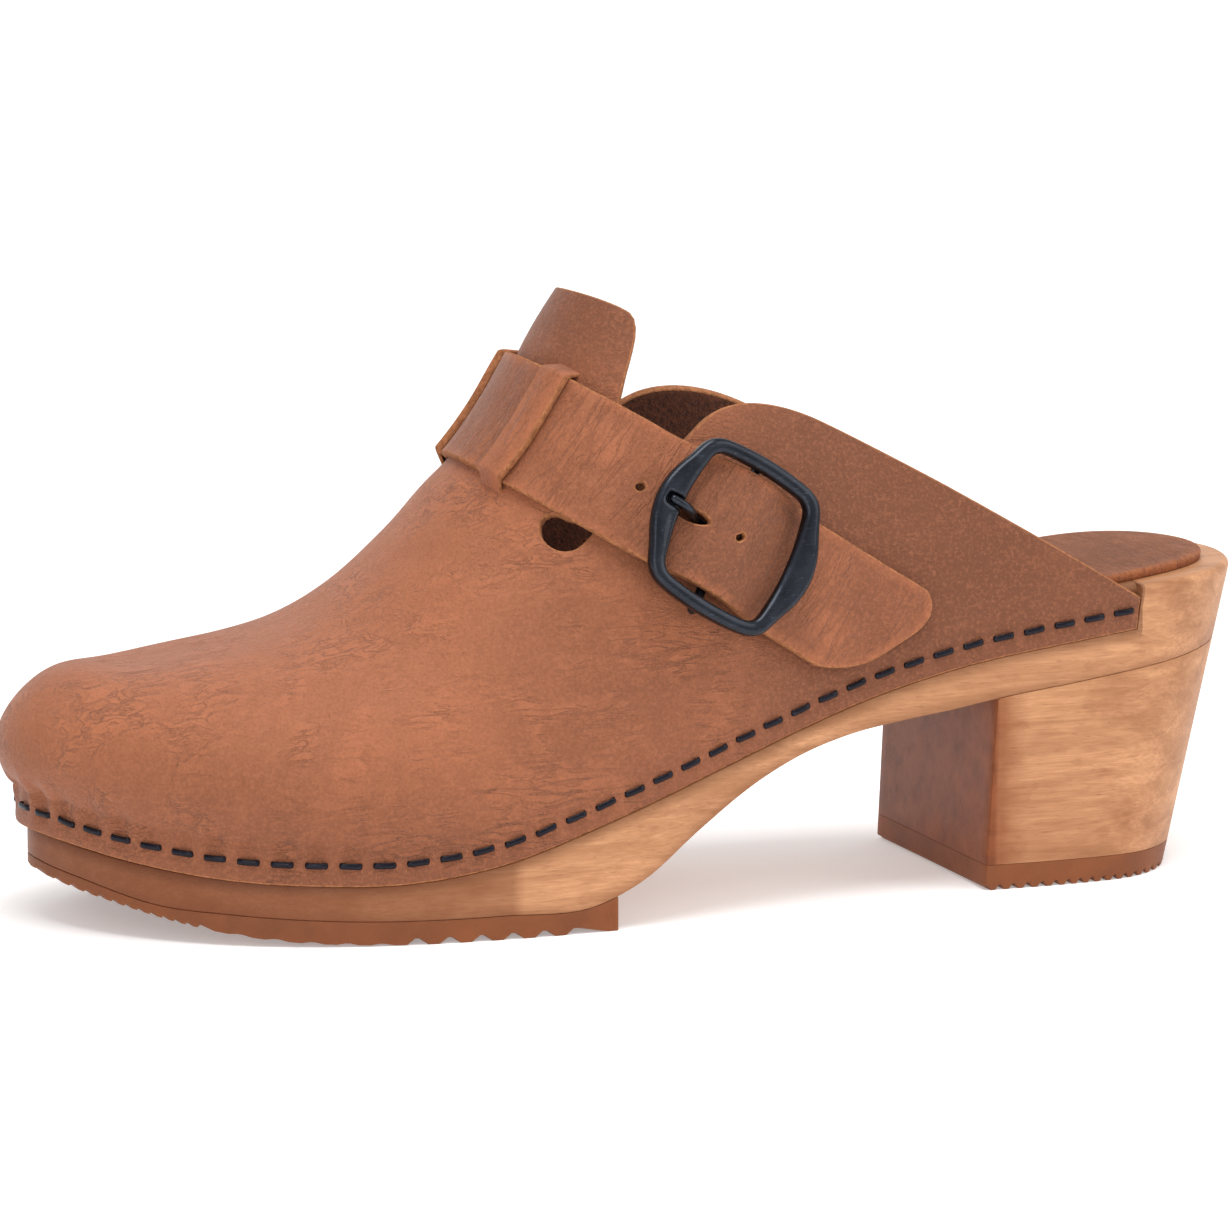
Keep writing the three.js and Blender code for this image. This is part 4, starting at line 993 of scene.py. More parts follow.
def make_upper(sizes):
    """Vamp, tongue and quarters as one hide: a grid over the skin, closer where the skin bends,
    cut along the topline and the keyhole."""
    pitch = RUNS[0][2][-1] / (sizes.staples - 1)
    w = np.linspace(0, 1, 245)
    x = TIP_X + (UPPER_REAR - 0.4 - TIP_X) * (0.35 * w + 0.65 * w**2)
    x = np.sort(np.concatenate([x, TIP_X + (8 - TIP_X) * np.linspace(0.02, 0.98, 14) ** 2]))
    low = np.linspace(2, 1, 11)[:-1]
    high = 1 - np.linspace(0, 1, 98) ** 1.5
    half = np.concatenate([low, high])
    q = np.concatenate([-half, half[-2::-1]])
    u, v = np.meshgrid(x, q, indexing="ij")
    outline = side_outline()

    def field(u, v):
        p = skin(u, v)
        flat = np.stack([p[..., 0], p[..., 2] + TOPLINE_FALL * (p[..., 1] + 20)], -1)
        return depth_in(flat.reshape(-1, 2), outline).reshape(u.shape) + 0.3

    uu, vv, faces = cut_grid(u, v, field)
    weld = np.arange(len(uu))
    cols = len(q)
    weld[:cols] = np.minimum(np.arange(cols), cols - 1 - np.arange(cols))
    outer, inner = upper_points(uu, vv, pitch, sizes.fold_depth * 1000)
    rise = skin(uu, vv)[:, 2] - (staple_line(uu) - SEAM_DROP)
    lay = np.column_stack([uu, rise * np.sign(vv)])
    return hide_piece("upper_hide", outer, inner, faces,
                      [finish_of(k) for k in ("upper", "suede", "edge")], lay, {"rise": rise},
                      weld=weld)


def make_bridges(sizes):
    """The two loops cut in the vamp: strips across the strap that rise over its edges on a smooth
    step and sink into the hide at both ends."""
    made = []
    thick = sizes.bridge_leather * 1000
    for side in (1, -1):
        u, v = np.meshgrid(np.linspace(-1, 1, 72), np.linspace(-1, 1, 13), indexing="ij")
        reach = STRAP_HALF + FIT + BRIDGE_FOOT
        b = u * reach
        up = 1 - smooth(np.abs(b), STRAP_HALF - 0.6, reach - 0.5)
        s = side * BRIDGE_REACH + v * (BRIDGE_HALF - 0.4) * (1 - 0.16 * (b / reach) ** 2)
        rest = sizes.strap_rest * 1000 + sizes.strap_leather * 1000 + 0.15
        low = -thick - 0.35 + up * (rest + thick + 0.35)
        bow = 0.35 * np.exp(-(v * 1.6) ** 2) * up
        faces = quads(*u.shape)
        outer, inner = (on_strap(s, b, h).reshape(-1, 3) for h in (low + thick + bow, low + bow * 0.5))
        lay = np.column_stack([s.ravel(), b.ravel()])
        rise = ((1 - np.abs(v)) * BRIDGE_HALF).ravel()
        name = "outer_bridge" if side > 0 else "inner_bridge"
        made.append(hide_piece(name, outer, inner, faces,
                               [finish_of(k) for k in ("strap", "suede", "edge")], lay,
                               {"rise": rise}, bulge=0.35))
    return made


def tail_at(b, reach):
    """s of the strap's end at b: a slanted cut with round corners."""
    over = np.maximum(np.abs(b) - STRAP_HALF + TAIL_ROUND, 0)
    return reach + TAIL_SLANT * b - TAIL_ROUND + np.sqrt(np.maximum(TAIL_ROUND**2 - over**2, 0))


def make_strap(sizes):
    """The instep strap: lines of even b from its stapled inner end to the slanted tail, closer at
    the edges, laid on the skin and lifted over the buckle's bar."""
    rows, cols = 330, 33
    width = STRAP_HALF - 0.42
    v = -np.cos(np.linspace(0, math.pi, cols))
    v = 0.55 * v + 0.45 * np.linspace(-1, 1, cols)
    w = np.linspace(0, 1, rows)
    w = np.where(w < 0.9, w, 0.9 + 0.1 * (1 - (1 - (w - 0.9) / 0.1) ** 1.6))
    b = np.broadcast_to(width * v, (rows, cols))
    start = np.interp(b, TABLE_B, STRAP_END) + 0.6
    end = tail_at(b, TAIL_REACH - TAIL_TRIM)
    s = start + (end - start) * w[:, None]
    prong_hole = BUCKLE_REACH - PRONG_BACK
    holes = [(prong_hole + k * HOLE_PITCH, 0.0, HOLE_RADIUS, HOLE_RADIUS) for k in (-1, 1)]
    holes.append((prong_hole + PRONG_SLOT[0], BUCKLE_SHIFT, *PRONG_SLOT[1:]))

    def field(s, b):
        return np.max([1 - np.hypot((s - hs) / rs, (b - hb) / rb) for hs, hb, rs, rb in holes], 0)

    ss, bb, faces = cut_grid(s, b, field)
    rest, thick = sizes.strap_rest * 1000, sizes.strap_leather * 1000
    lift = strap_lift(ss, bb, rest)
    edge = smooth(np.abs(bb), STRAP_HALF - 3, STRAP_HALF)
    wave = 0.16 * np.sin(ss * 0.55 + 0.12 * bb) * np.sin(ss * 0.17 + 1) * (0.4 + edge)
    crease = -0.14 * np.exp(-((np.sin(0.42 * ss - 0.22 * bb + 0.9 * np.sin(bb * 0.31))) / 0.22) ** 2)
    wave = wave + crease * smooth(ss, 18, 24) * (1 - smooth(ss, 42, 50))
    dome = 0.22 * (1 - (bb / STRAP_HALF) ** 2)
    outer = on_strap(ss, bb, lift + thick + wave + dome - 0.2)
    inner = on_strap(ss, bb, lift)
    lay = np.column_stack([ss, bb])
    rise = np.minimum(STRAP_HALF - np.abs(bb), (tail_at(bb, TAIL_REACH - TAIL_TRIM + 0.4) - ss))
    # The shade attribute: painted shade beside each loop, between the loops and round the buckle.
    beside = np.exp(-(((np.abs(ss) - BRIDGE_REACH) / 5.0) ** 4))
    dark = np.exp(-(((ss - BUCKLE_REACH) / 13.0) ** 4)) + 0.7 * beside + 0.5 * (np.abs(ss) < 13)
    return hide_piece("instep_strap", outer, inner, faces,
                      [finish_of(k) for k in ("strap", "suede", "edge")], lay,
                      {"rise": rise, "shade": dark})


# Corner and bow along the strap, corner and bow across it, and corner radius.
RING_OUTLINE = (14.5, 18.2, 16.2, 16.9, 5.6)
WINDOW_OUTLINE = (11.3, 12.3, 13.4, 13.9, 3.4)
BAR_HALF = 15.35


def bowed(corner, bow, wide, wide_bow, round_off, n=40):
    """Four bowed sides joined by round corners, n points each, starting at the tail side."""
    def bend(a, b, c):
        t = np.linspace(0, 1, n, endpoint=False)[:, None]
        a, b, c = (np.array(p, float) for p in (a, b, c))
        return (1 - t)**2 * a + 2 * (1 - t) * t * b + t**2 * c
    r = round_off
    quarter = [bend((corner, -wide + r), (2 * bow - corner, 0), (corner, wide - r)),
               bend((corner, wide - r), (corner, wide), (corner - r, wide)),
               bend((corner - r, wide), (0, 2 * wide_bow - wide), (-corner + r, wide)),
               bend((-corner + r, wide), (-corner, wide), (-corner, wide - r))]
    half = np.concatenate(quarter)
    return np.concatenate([half, -half])


def softened(outline, spread, count=320):
    """A closed outline at even steps, each point the mean of its neighbours weighted by a bell
    spread millimetres wide, so that no corner is left in it."""
    ring = np.concatenate([outline, outline[:1]])
    run = np.concatenate([[0], np.cumsum(np.linalg.norm(np.diff(ring, axis=0), axis=1))])
    even = np.linspace(0, run[-1], count, endpoint=False)
    even = np.column_stack([np.interp(even, run, ring[:, k]) for k in (0, 1)])
    away = np.arange(count)
    away = np.minimum(away, count - away) * run[-1] / count
    bell = np.exp(-((away / spread) ** 2))
    bell /= bell.sum()
    return np.real(np.fft.ifft(np.fft.fft(even, axis=0) * np.fft.fft(bell)[:, None], axis=0))


def make_buckle():
    """Cast frame: a ring between a bowed outline and a squarer window; the section is a squashed
    circle whose power keeps its shoulders full. A nick in the far bar takes the prong. The centre
    bar and its two lugs hang below."""
    outer = softened(bowed(*RING_OUTLINE), 3.0)
    window = softened(bowed(*WINDOW_OUTLINE), 1.4)
    mid, half = (outer + window) / 2, (outer - window) / 2
    around = 28
    turn = np.arange(around) / around * 2 * math.pi
    c, s = np.cos(turn), np.sin(turn)
    power = 0.72
    across = np.sign(c) * np.abs(c) ** power
    tall = np.sign(s) * np.abs(s) ** power
    plan = mid[:, None] + half[:, None] * across[None, :, None]
    z = FRAME_HEIGHT + FRAME_THICKNESS / 2 + FRAME_THICKNESS / 2 * tall
    z = np.broadcast_to(z, plan.shape[:2]).copy()
    slope = np.linalg.norm(half, axis=1)[:, None]
    z -= np.where(s > 0, 0.28 * (slope - 1.4) * (1 - across) * 0.5, 0)
    nick = np.exp(-((plan[..., 1] / 1.15) ** 4)) * smooth(-plan[..., 0], 8, 10)
    nick *= 1 - smooth(-plan[..., 0], -PRONG_TIP + 0.4, -PRONG_TIP + 1.3)
    z -= np.where(s > -0.1, np.clip(z - (FRAME_HEIGHT + FRAME_THICKNESS - NOTCH_DEPTH), 0, 9), 0) \
        * nick
    ring = np.dstack([plan, z]).reshape(-1, 3)
    faces = np.concatenate([quads(len(outer), around, closed=True)])
    last = np.arange(around)
    close = np.stack([(len(outer) - 1) * around + last, last, (last + 1) % around,
                      (len(outer) - 1) * around + (last + 1) % around], 1)
    y = np.linspace(-BAR_HALF, BAR_HALF, 24)
    bar = tube(np.column_stack([0 * y, y, BAR_HEIGHT + 0 * y]), BAR_RADIUS, across=(1.0, 0, 0))
    lugs = []
    for side in (-1, 1):
        h = np.linspace(BAR_HEIGHT - 0.1, FRAME_HEIGHT + 0.4, 8)
        lug = np.column_stack([0 * h, side * BAR_HALF + 0 * h, h])
        lugs.append(tube(lug, 0.85, across=(1.0, 0, 0)))
    points, polygons = joined([(ring, [*faces, *close]), bar, *lugs])
    return cleaned(new_piece("buckle_casting", seated(points), polygons, [finish_of("gunmetal")]))


def make_prong():
    """Round wire from an eye on the centre bar up to its rest in the frame's nick."""
    lie = FRAME_HEIGHT + FRAME_THICKNESS - NOTCH_DEPTH + PRONG_RADIUS + FIT
    knots = np.array([(-2.1, BAR_HEIGHT), (-5, BAR_HEIGHT + 0.1), (-8, BAR_HEIGHT + 1.5),
                      (-10.3, lie - 1), (-12, lie), (PRONG_TIP + 0.5, lie)])
    run = np.concatenate([[0], np.cumsum(np.linalg.norm(np.diff(knots, axis=0), axis=1))])
    t = np.linspace(0, run[-1], 40)
    x, z = (through(*zip(run, knots[:, k]))(t) for k in (0, 1))
    radius = PRONG_RADIUS * np.where(t > run[-1] - 0.6, 0.97, 1.0)
    arm = tube(np.column_stack([x, 0 * x, z]), radius, around=20)
    turn = np.linspace(0, 2 * math.pi, 33)[:-1]
    eye_r, eye_t = BAR_RADIUS + 0.12 + 0.42, 0.42
    section = np.arange(12) / 12 * 2 * math.pi
    ring = np.stack([
        (eye_r + eye_t * np.cos(section)[None]) * np.cos(turn)[:, None],
        0.9 * np.sin(section)[None] + 0 * turn[:, None],
        BAR_HEIGHT + (eye_r + eye_t * np.cos(section)[None]) * np.sin(turn)[:, None]], -1)
    faces = quads(32, 12, closed=True)
    last = np.arange(12)
    close = np.stack([31 * 12 + last, last, (last + 1) % 12, 31 * 12 + (last + 1) % 12], 1)
    points, polygons = joined([arm, (ring.reshape(-1, 3), [*faces, *close])])
    return cleaned(new_piece("buckle_pin", seated(points), polygons, [finish_of("gunmetal")]))


def make_tab():
    """Short strap that holds the buckle: it wraps the centre bar and lies doubled on the upper.
    A slot at the wrap lets the prong through."""
    loop = BAR_RADIUS + 0.2 + TAB_LEATHER
    wrap = np.linspace(math.radians(-72), math.radians(-288), 40)
    foot = np.linspace(TAB_REACH, 2.2, 16)
    top = FIT + 2 * TAB_LEATHER + 0.05
    x = np.concatenate([foot, loop * np.cos(wrap), foot[::-1]])
    z = np.concatenate([np.full(16, FIT + 0.02), BAR_HEIGHT + loop * np.sin(wrap),
                        np.full(16, top)])
    path = np.column_stack([x, z])
    run = np.concatenate([[0], np.cumsum(np.linalg.norm(np.diff(path, axis=0), axis=1))])
    t, v = np.meshgrid(np.linspace(0, run[-1], 110), np.linspace(-1, 1, 21), indexing="ij")

    def field(t, v):
        middle = run[-1] / 2
        return np.minimum(5.6 - np.abs(t - middle), TAB_SLOT / 2 - np.abs(v) * TAB_WIDTH / 2)

    tt, vv, faces = cut_grid(t, v, field)
    px, pz = (np.interp(tt, run, path[:, k]) for k in range(2))
    dx, dz = (np.interp(tt + 0.2, run, path[:, k]) - np.interp(tt - 0.2, run, path[:, k])
              for k in range(2))
    n = unit(np.column_stack([dz, 0 * dz, -dx]))
    centre = np.column_stack([px, vv * (TAB_WIDTH / 2 - 0.25), pz])
    outer = seated(centre)
    inner = seated(centre - n * (TAB_LEATHER - 0.08))
    lay = np.column_stack([tt, vv * TAB_WIDTH / 2])
    return hide_piece("buckle_keeper", outer, inner, faces,
                      [finish_of(k) for k in ("strap", "suede", "edge")], lay,
                      {"rise": (1 - np.abs(vv)) * 5}, bulge=0.2)


def toe_stations(rear, extra=(), count=120):
    w = np.linspace(0, 1, 30) ** 2
    near = TIP_X + (14 - TIP_X) * w
    far = np.linspace(14, rear, count)[1:]
    return np.unique(np.round(np.concatenate([near, far, extra]), 4))


def heel_end(start, count=60):
    """Stations from start to the heel's back, closing up where the outline turns across."""
    w = np.linspace(0, 1, count)
    return start + (SHAPE_REAR - start) * (1 - (1 - w) ** 2)


def make_plank():
    """Toe plank: the wall stands on the rounded edge of the underside, steps in under the leather,
    and rounds over at the heel rim; the bed dips under the forefoot."""
    split = UPPER_REAR + 0.08
    x = np.concatenate([toe_stations(200), np.linspace(200, split - 0.01, 12)[1:],
                        heel_end(split + 0.01, 60)])
    outer, inner = sides(x)

    def floor_line(x):
        return staple_line(x + proud(x)) - SEAM_DROP - FIT

    def step_in(x):
        return np.where(x < split, LEATHER + FIT - 0.75 * proud(x), 0.0)

    front = lambda x: (x < split) * 1.0
    rim = 1.5
    turn = 0.35
    rows = rounded(turn, underside, 1)
    rows += [lambda x, y, f=f: (0 * x, underside(x) + turn
                               + (floor_line(x) - underside(x) - turn - 0.5) * f)
             for f in (0.33, 0.66, 1.0)]
    rows += [lambda x, y: (0.12 * front(x), floor_line(x) - 0.15),
             lambda x, y: (0.45 * front(x), floor_line(x)),
             lambda x, y: (step_in(x), floor_line(x)),
             lambda x, y: (step_in(x), (floor_line(x) + bed_line(x)) / 2)]
    for angle in np.linspace(0, math.pi / 2, 6):
        rows.append(lambda x, y, a=angle: (step_in(x) + rim * (1 - math.cos(a)),
                                           bed_line(x) - rim + rim * math.sin(a)))

    def bed(x, y):
        dip = np.maximum(1 - ((x - 70) / 52) ** 2 - ((y - 1) / 30) ** 2, 0)
        return bed_line(x) - 2.4 * np.sqrt(dip + 0.01) * (dip > 0)

    piece = block("alder_plank", outer, inner, rows, finish_of("plank"),
                  floor=lambda x, y: underside(x), roof=bed)
    co = np.zeros(len(piece.data.vertices) * 3)
    piece.data.vertices.foreach_get("co", co)
    p = co.reshape(-1, 3) * 1000 + SHIFT
    # drop feeds the painted shadow under the leather's edge, lift the painted shade along the plank's
    # lower edge.
    for key, values in (("drop", np.where(p[:, 0] < split, floor_line(p[:, 0]) - p[:, 2], 9)),
                        ("lift", p[:, 2] - underside(p[:, 0]))):
        piece.data.attributes.new(key, "FLOAT", "POINT").data.foreach_set(
            "value", values.astype(np.float32))
    return piece


def chamfered(outer, inner, cut=0.7):
    """Takes the two sharp front corners off a pair of sides."""
    for side, sign in ((outer, 1), (inner, -1)):
        side[0] += (0, sign * cut)
        side[1] = side[0] + (0.3 * cut, -sign * 0.7 * cut)
        side[2] = side[0] + (cut, -sign * cut)
    return outer, inner


def heel_stations():
    return np.concatenate([[HEEL_FRONT, HEEL_FRONT + 0.2, HEEL_FRONT + 0.7],
                           heel_end(HEEL_FRONT + 1.4, 84)])


def heel_warp(x, y, z):
    """The heel's rake, and its front leaning forward towards the floor."""
    rx, ry = raked(x, y, z)
    lean = BREAST_LEAN * (1 - (z - LIFT_THICKNESS) / 33.2)
    return rx - lean * (1 - smooth(x, HEEL_FRONT, HEEL_FRONT + 22)), ry


def make_heel():
    """Heel block: its wall follows the plank's outline from the top lift up to the underside."""
    outer, inner = chamfered(*sides(heel_stations()))
    top = lambda x: underside(x) - SEAM
    low = lambda x: LIFT_THICKNESS + SEAM + 0 * x
    rows = rounded(0.12, low, 1, 2)
    rows += [lambda x, y, f=f: (0 * x, low(x) + 0.12 + (top(x) - low(x) - 0.24) * f)
             for f in (0.2, 0.4, 0.6, 0.8)]
    rows += rounded(0.12, top, -1, 2)
    return block("alder_heel", outer, inner, rows, finish_of("heel"),
                 floor=lambda x, y: low(x), roof=lambda x, y: top(x), warp=heel_warp)


def tread(line, start, end, pitch, depth):
    """Saw-tooth line under line(x): a flat crest of 0.35 of the pitch, a slope up by depth, a short
    flat and a steep drop. Gives the line and its corners."""
    first = start + np.arange(int((end - start) / pitch)) * pitch
    xs = (first[:, None] + np.array([0, 0.35, 0.6, 0.75]) * pitch).ravel()
    zs = np.maximum(line(xs), 0) + np.tile([0, 0, depth, depth], len(first))
    xs, zs = np.append(xs, end), np.append(zs, max(float(line(np.array(end))), 0))
    return (lambda x: np.interp(x, xs, zs)), xs


def make_outsole():
    """Toe outsole: a sheet of rubber between the plank's underside and a saw-tooth tread, which is
    fine at the tip, nearly smooth behind it, and full under the ball of the foot."""
    runs = [tread(sole_contact, -5, TIP_REAR, TIP_PITCH, TIP_TOOTH),
            tread(sole_contact, TIP_REAR, WAVE_REAR, OUTSOLE_PITCH, WAVE_TOOTH),
            tread(sole_contact, WAVE_REAR, OUTSOLE_REAR - 2, OUTSOLE_PITCH, OUTSOLE_TOOTH)]
    corners = np.unique(np.concatenate([xs for _, xs in runs]))
    heights = np.select([corners < TIP_REAR, corners < WAVE_REAR],
                        [runs[0][0](corners), runs[1][0](corners)], runs[2][0](corners))
    floor = lambda x: np.interp(x, corners, heights)
    x = toe_stations(OUTSOLE_REAR, corners[(corners > TIP_X + 0.3) & (corners < OUTSOLE_REAR)])
    outer, inner = sides(x)
    top = lambda x: underside(x) - SEAM
    rows = [lambda x, y: (0.15, floor(x)), lambda x, y: (0.0, np.minimum(floor(x) + 0.25, top(x))),
            lambda x, y: (0.0, top(x) - 0.1), lambda x, y: (0.1, top(x))]
    return block("toe_tread", outer, inner, rows, finish_of("rubber"),
                 floor=lambda x, y: floor(x), roof=lambda x, y: top(x), warp=None, sharp=28)


def make_lift():
    """Heel top lift: a slice of rubber with the same outline as the heel and a finer tread."""
    floor, corners = tread(lambda x: 0 * x, HEEL_FRONT - BREAST_LEAN, 250, LIFT_PITCH, LIFT_TOOTH)
    x = heel_stations()
    inside = corners[(corners > x[3]) & (corners < SHAPE_REAR)]
    x = np.concatenate([x[:3], np.unique(np.concatenate([x[3:], inside]))])
    outer, inner = chamfered(*sides(x))
    top = lambda x: LIFT_THICKNESS + 0 * x
    rows = [lambda x, y: (0.2, floor(x)), lambda x, y: (0.0, floor(x) + 0.2),
            lambda x, y: (0.0, top(x) - 0.1), lambda x, y: (0.1, top(x))]
    return block("heel_tread", outer, inner, rows, finish_of("rubber"),
                 floor=lambda x, y: floor(x), roof=lambda x, y: top(x), warp=heel_warp, sharp=28)


def make_pad():
    """Heel pad: dark leather on the bed, its edge skived round, its front a shallow bow."""
    w = np.linspace(0, 1, 90)
    x = PAD_FRONT + (SHAPE_REAR - PAD_BORDER - 0.05 - PAD_FRONT) * (0.5 - 0.5 * np.cos(np.pi * w))
    outer, inner = sides(x, PAD_BORDER)
    t = np.clip((x - PAD_FRONT) / 9, 0, 1)
    draw = (1 - (1 - t) ** 2.6) ** (1 / 2.6)
    tail = np.clip((SHAPE_REAR - PAD_BORDER - x) / 0.05, 0, 1)
    outer[:, 1] *= draw * tail
    inner[:, 1] *= draw * tail
    low = lambda x: bed_line(x) + GLUE
    top = lambda x: low(x) + PAD_THICKNESS
    rows = [lambda x, y: (0.15, low(x)), lambda x, y: (0.0, low(x) + 0.4)]
    rows += rounded(0.8, top, -1, 4)
    piece = block("heel_pad_hide", outer, inner, rows, finish_of("pad"),
                  floor=lambda x, y: low(x),
                  roof=lambda x, y: top(x) + 0.25 * np.maximum(1 - (y / 20) ** 2, 0)
                  * smooth(x, 168, 178) * (1 - smooth(x, 228, 240)))
    co = np.zeros(len(piece.data.vertices) * 3)
    piece.data.vertices.foreach_get("co", co)
    p = co.reshape(-1, 3) * 1000 + SHIFT
    edge = depth_in(p[:, :2], np.concatenate([outer, inner[::-1]]))
    piece.data.attributes.new("rise", "FLOAT", "POINT").data.foreach_set(
        "value", edge.astype(np.float32))
    uv = piece.data.uv_layers.new(name="lay")
    index = np.zeros(len(piece.data.loops), np.int32)
    piece.data.loops.foreach_get("vertex_index", index)
    uv.data.foreach_set("uv", (p[index, :2] / 100).astype(np.float32).ravel())
    return piece


def make_staples(sizes, side):
    """Round-shouldered wire staples at even steps: a bar bent down at both ends, its section a
    squashed circle."""
    _, p, s = RUNS[0 if side < 0 else 1]
    pitch = RUNS[0][2][-1] / (sizes.staples - 1)
    if side < 0:
        at = np.linspace(0, s[-1], sizes.staples)
    else:
        at = np.arange(pitch, s[-1] + 0.01, (s[-1] - pitch) / round((s[-1] - pitch) / pitch))
    centre = np.stack([np.interp(at, s, p[:, k]) for k in range(3)], 1)
    ahead = np.stack([np.interp(at + 0.6, s, p[:, k]) - np.interp(at - 0.6, s, p[:, k])
                      for k in range(3)], 1)
    along = unit(ahead)
    out = unit(np.column_stack([along[:, 1], -along[:, 0], 0 * along[:, 0]])) * -np.sign(side)
    across = np.cross(out, along)
    a = CROWN / 2 - WIRE / 2
    bend = np.linspace(math.pi / 2, 0, 4)
    arm = [(-a, -1.6), (-a, -0.5)]
    arm += [(-a + 0.5 - 0.5 * math.sin(t), 0.5 * math.cos(t) - 0.1) for t in bend] + [(-a / 3, 0.44)]
    arm = np.array(arm + [(-h, v) for h, v in arm[::-1]])
    points, faces = tube(np.column_stack([arm[:, 0], 0 * arm[:, 0], arm[:, 1] - 0.12]), WIRE / 2,
                         around=8, flat=0.62, ends=False)
    points[:, 1] *= CROWN_WIDTH / WIRE * 0.92
    axes = np.stack([along, across, out], 1)
    rng = np.random.default_rng(7 + side)
    tilt = rng.normal(0, 0.035, len(at))
    axes[:, 0] += axes[:, 1] * tilt[:, None]
    axes[:, 1] -= axes[:, 0] * tilt[:, None]
    placed = centre[:, None] + np.einsum("pk,nkd->npd", points, axes)
    count = len(points)
    all_faces = (np.asarray(faces)[None] + count * np.arange(len(at))[:, None, None]).reshape(-1, 4)
    name = "outer_staples" if side < 0 else "inner_staples"
    return new_piece(name, placed.reshape(-1, 3), list(all_faces), [finish_of("staple")])


# ---- panel, sizes and operators -----------------------------------------------------------------


class ClogSizes(bpy.types.PropertyGroup):
    """Sizes that can be changed before the pieces are built"""

    staples: IntProperty(name="Staples", description="Staples along the outer side", default=38,
                         min=10, max=80)
    fold_depth: FloatProperty(name="Fold depth", default=0.00042, unit="LENGTH", precision=5,
                              description="How deep the lasted leather folds round the toe")
    strap_leather: FloatProperty(name="Strap leather", default=0.0019, unit="LENGTH", precision=4,
                                 description="Thickness of the instep strap")
    strap_rest: FloatProperty(name="Strap rest", default=0.0004, unit="LENGTH", precision=4,
                              description="Gap between the strap and the upper")
    bridge_leather: FloatProperty(name="Bridge leather", default=0.0016, unit="LENGTH",
                                  precision=4, description="Thickness of the two loops")


class ClogColours(bpy.types.PropertyGroup):
    """Colours of the clog's finishes"""


def _colour(key, name, text, value):
    ClogColours.__annotations__[key] = FloatVectorProperty(
        name=name, description=text, subtype="COLOR", size=3, min=0, max=1, default=value)


ClogColours.__annotations__ = {}
_colour("leather", "Leather", "Grain side of the hide", tint(156, 93, 61))
_colour("suede", "Suede", "Flesh side of the hide", tint(112, 62, 38))
_colour("cut_edge", "Cut edge", "Edge of the hide", tint(176, 116, 78))
_colour("pad", "Heel pad", "Leather under the heel", tint(146, 90, 60))
_colour("wood", "Wood", "Pale oiled wood", tint(204, 152, 112))
_colour("stain", "Stain", "Dark oil in the wood", tint(128, 70, 38))
_colour("rubber", "Rubber", "Gum rubber of sole and heel", tint(128, 70, 34))
_colour("buckle", "Buckle", "Blackened steel", tint(34, 37, 44))
_colour("staple", "Staples", "Blued wire", tint(22, 20, 28))
_colour("floor", "Floor", "Studio paper", (0.93, 0.93, 0.93))


def build(operator_id, label, text, work):
    """An operator that runs work(context) and passes on whatever goes wrong."""

    def execute(self, context):
        work(context)
        return {"FINISHED"}
    return type("CLOG_OT_" + operator_id, (bpy.types.Operator,), {
        "bl_idname": "clog." + operator_id, "bl_label": label, "__doc__": text,
        "bl_options": {"REGISTER", "UNDO"}, "execute": execute})


def lay_wood(context):
    finished(make_plank(), "clog", "wood", "wood_sole")
    finished(make_heel(), "clog", "wood", "heel_block")


def lay_rubber(context):
    finished(make_outsole(), "clog", "rubber", "toe_outsole")
    finished(make_lift(), "clog", "rubber", "heel_top_lift")


def lay_upper(context):
    finished(make_upper(context.scene.clog_sizes), "clog", "leather", "upper")
    for piece in make_bridges(context.scene.clog_sizes):
        finished(piece, "clog", "leather")


def lay_strap(context):
    finished(make_strap(context.scene.clog_sizes), "clog", "leather", "strap")


def lay_buckle(context):
    finished(make_buckle(), "buckle", "gunmetal", "buckle_frame")
    finished(make_prong(), "prong", "gunmetal", "buckle_prong")
    finished(make_tab(), "clog", "leather", "buckle_tab")


def lay_pad(context):
    finished(make_pad(), "clog", "pad_leather", "heel_pad")


def lay_staples(context):
    sizes = context.scene.clog_sizes
    nodes = [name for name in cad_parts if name.startswith("staple_")]
    finished(make_staples(sizes, -1), "clog", "staple_steel", *nodes)
    finished(make_staples(sizes, 1), "clog", "staple_steel")


def finish_hardware(context):
    for name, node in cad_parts.items():
        if name.startswith(("heel_screw", "tab_rivet")):
            steel = finish_of("steel")
            for place in node.material_slots:
                place.link = "DATA"
                place.material = steel
            if not node.material_slots:
                node.data.materials.append(steel)


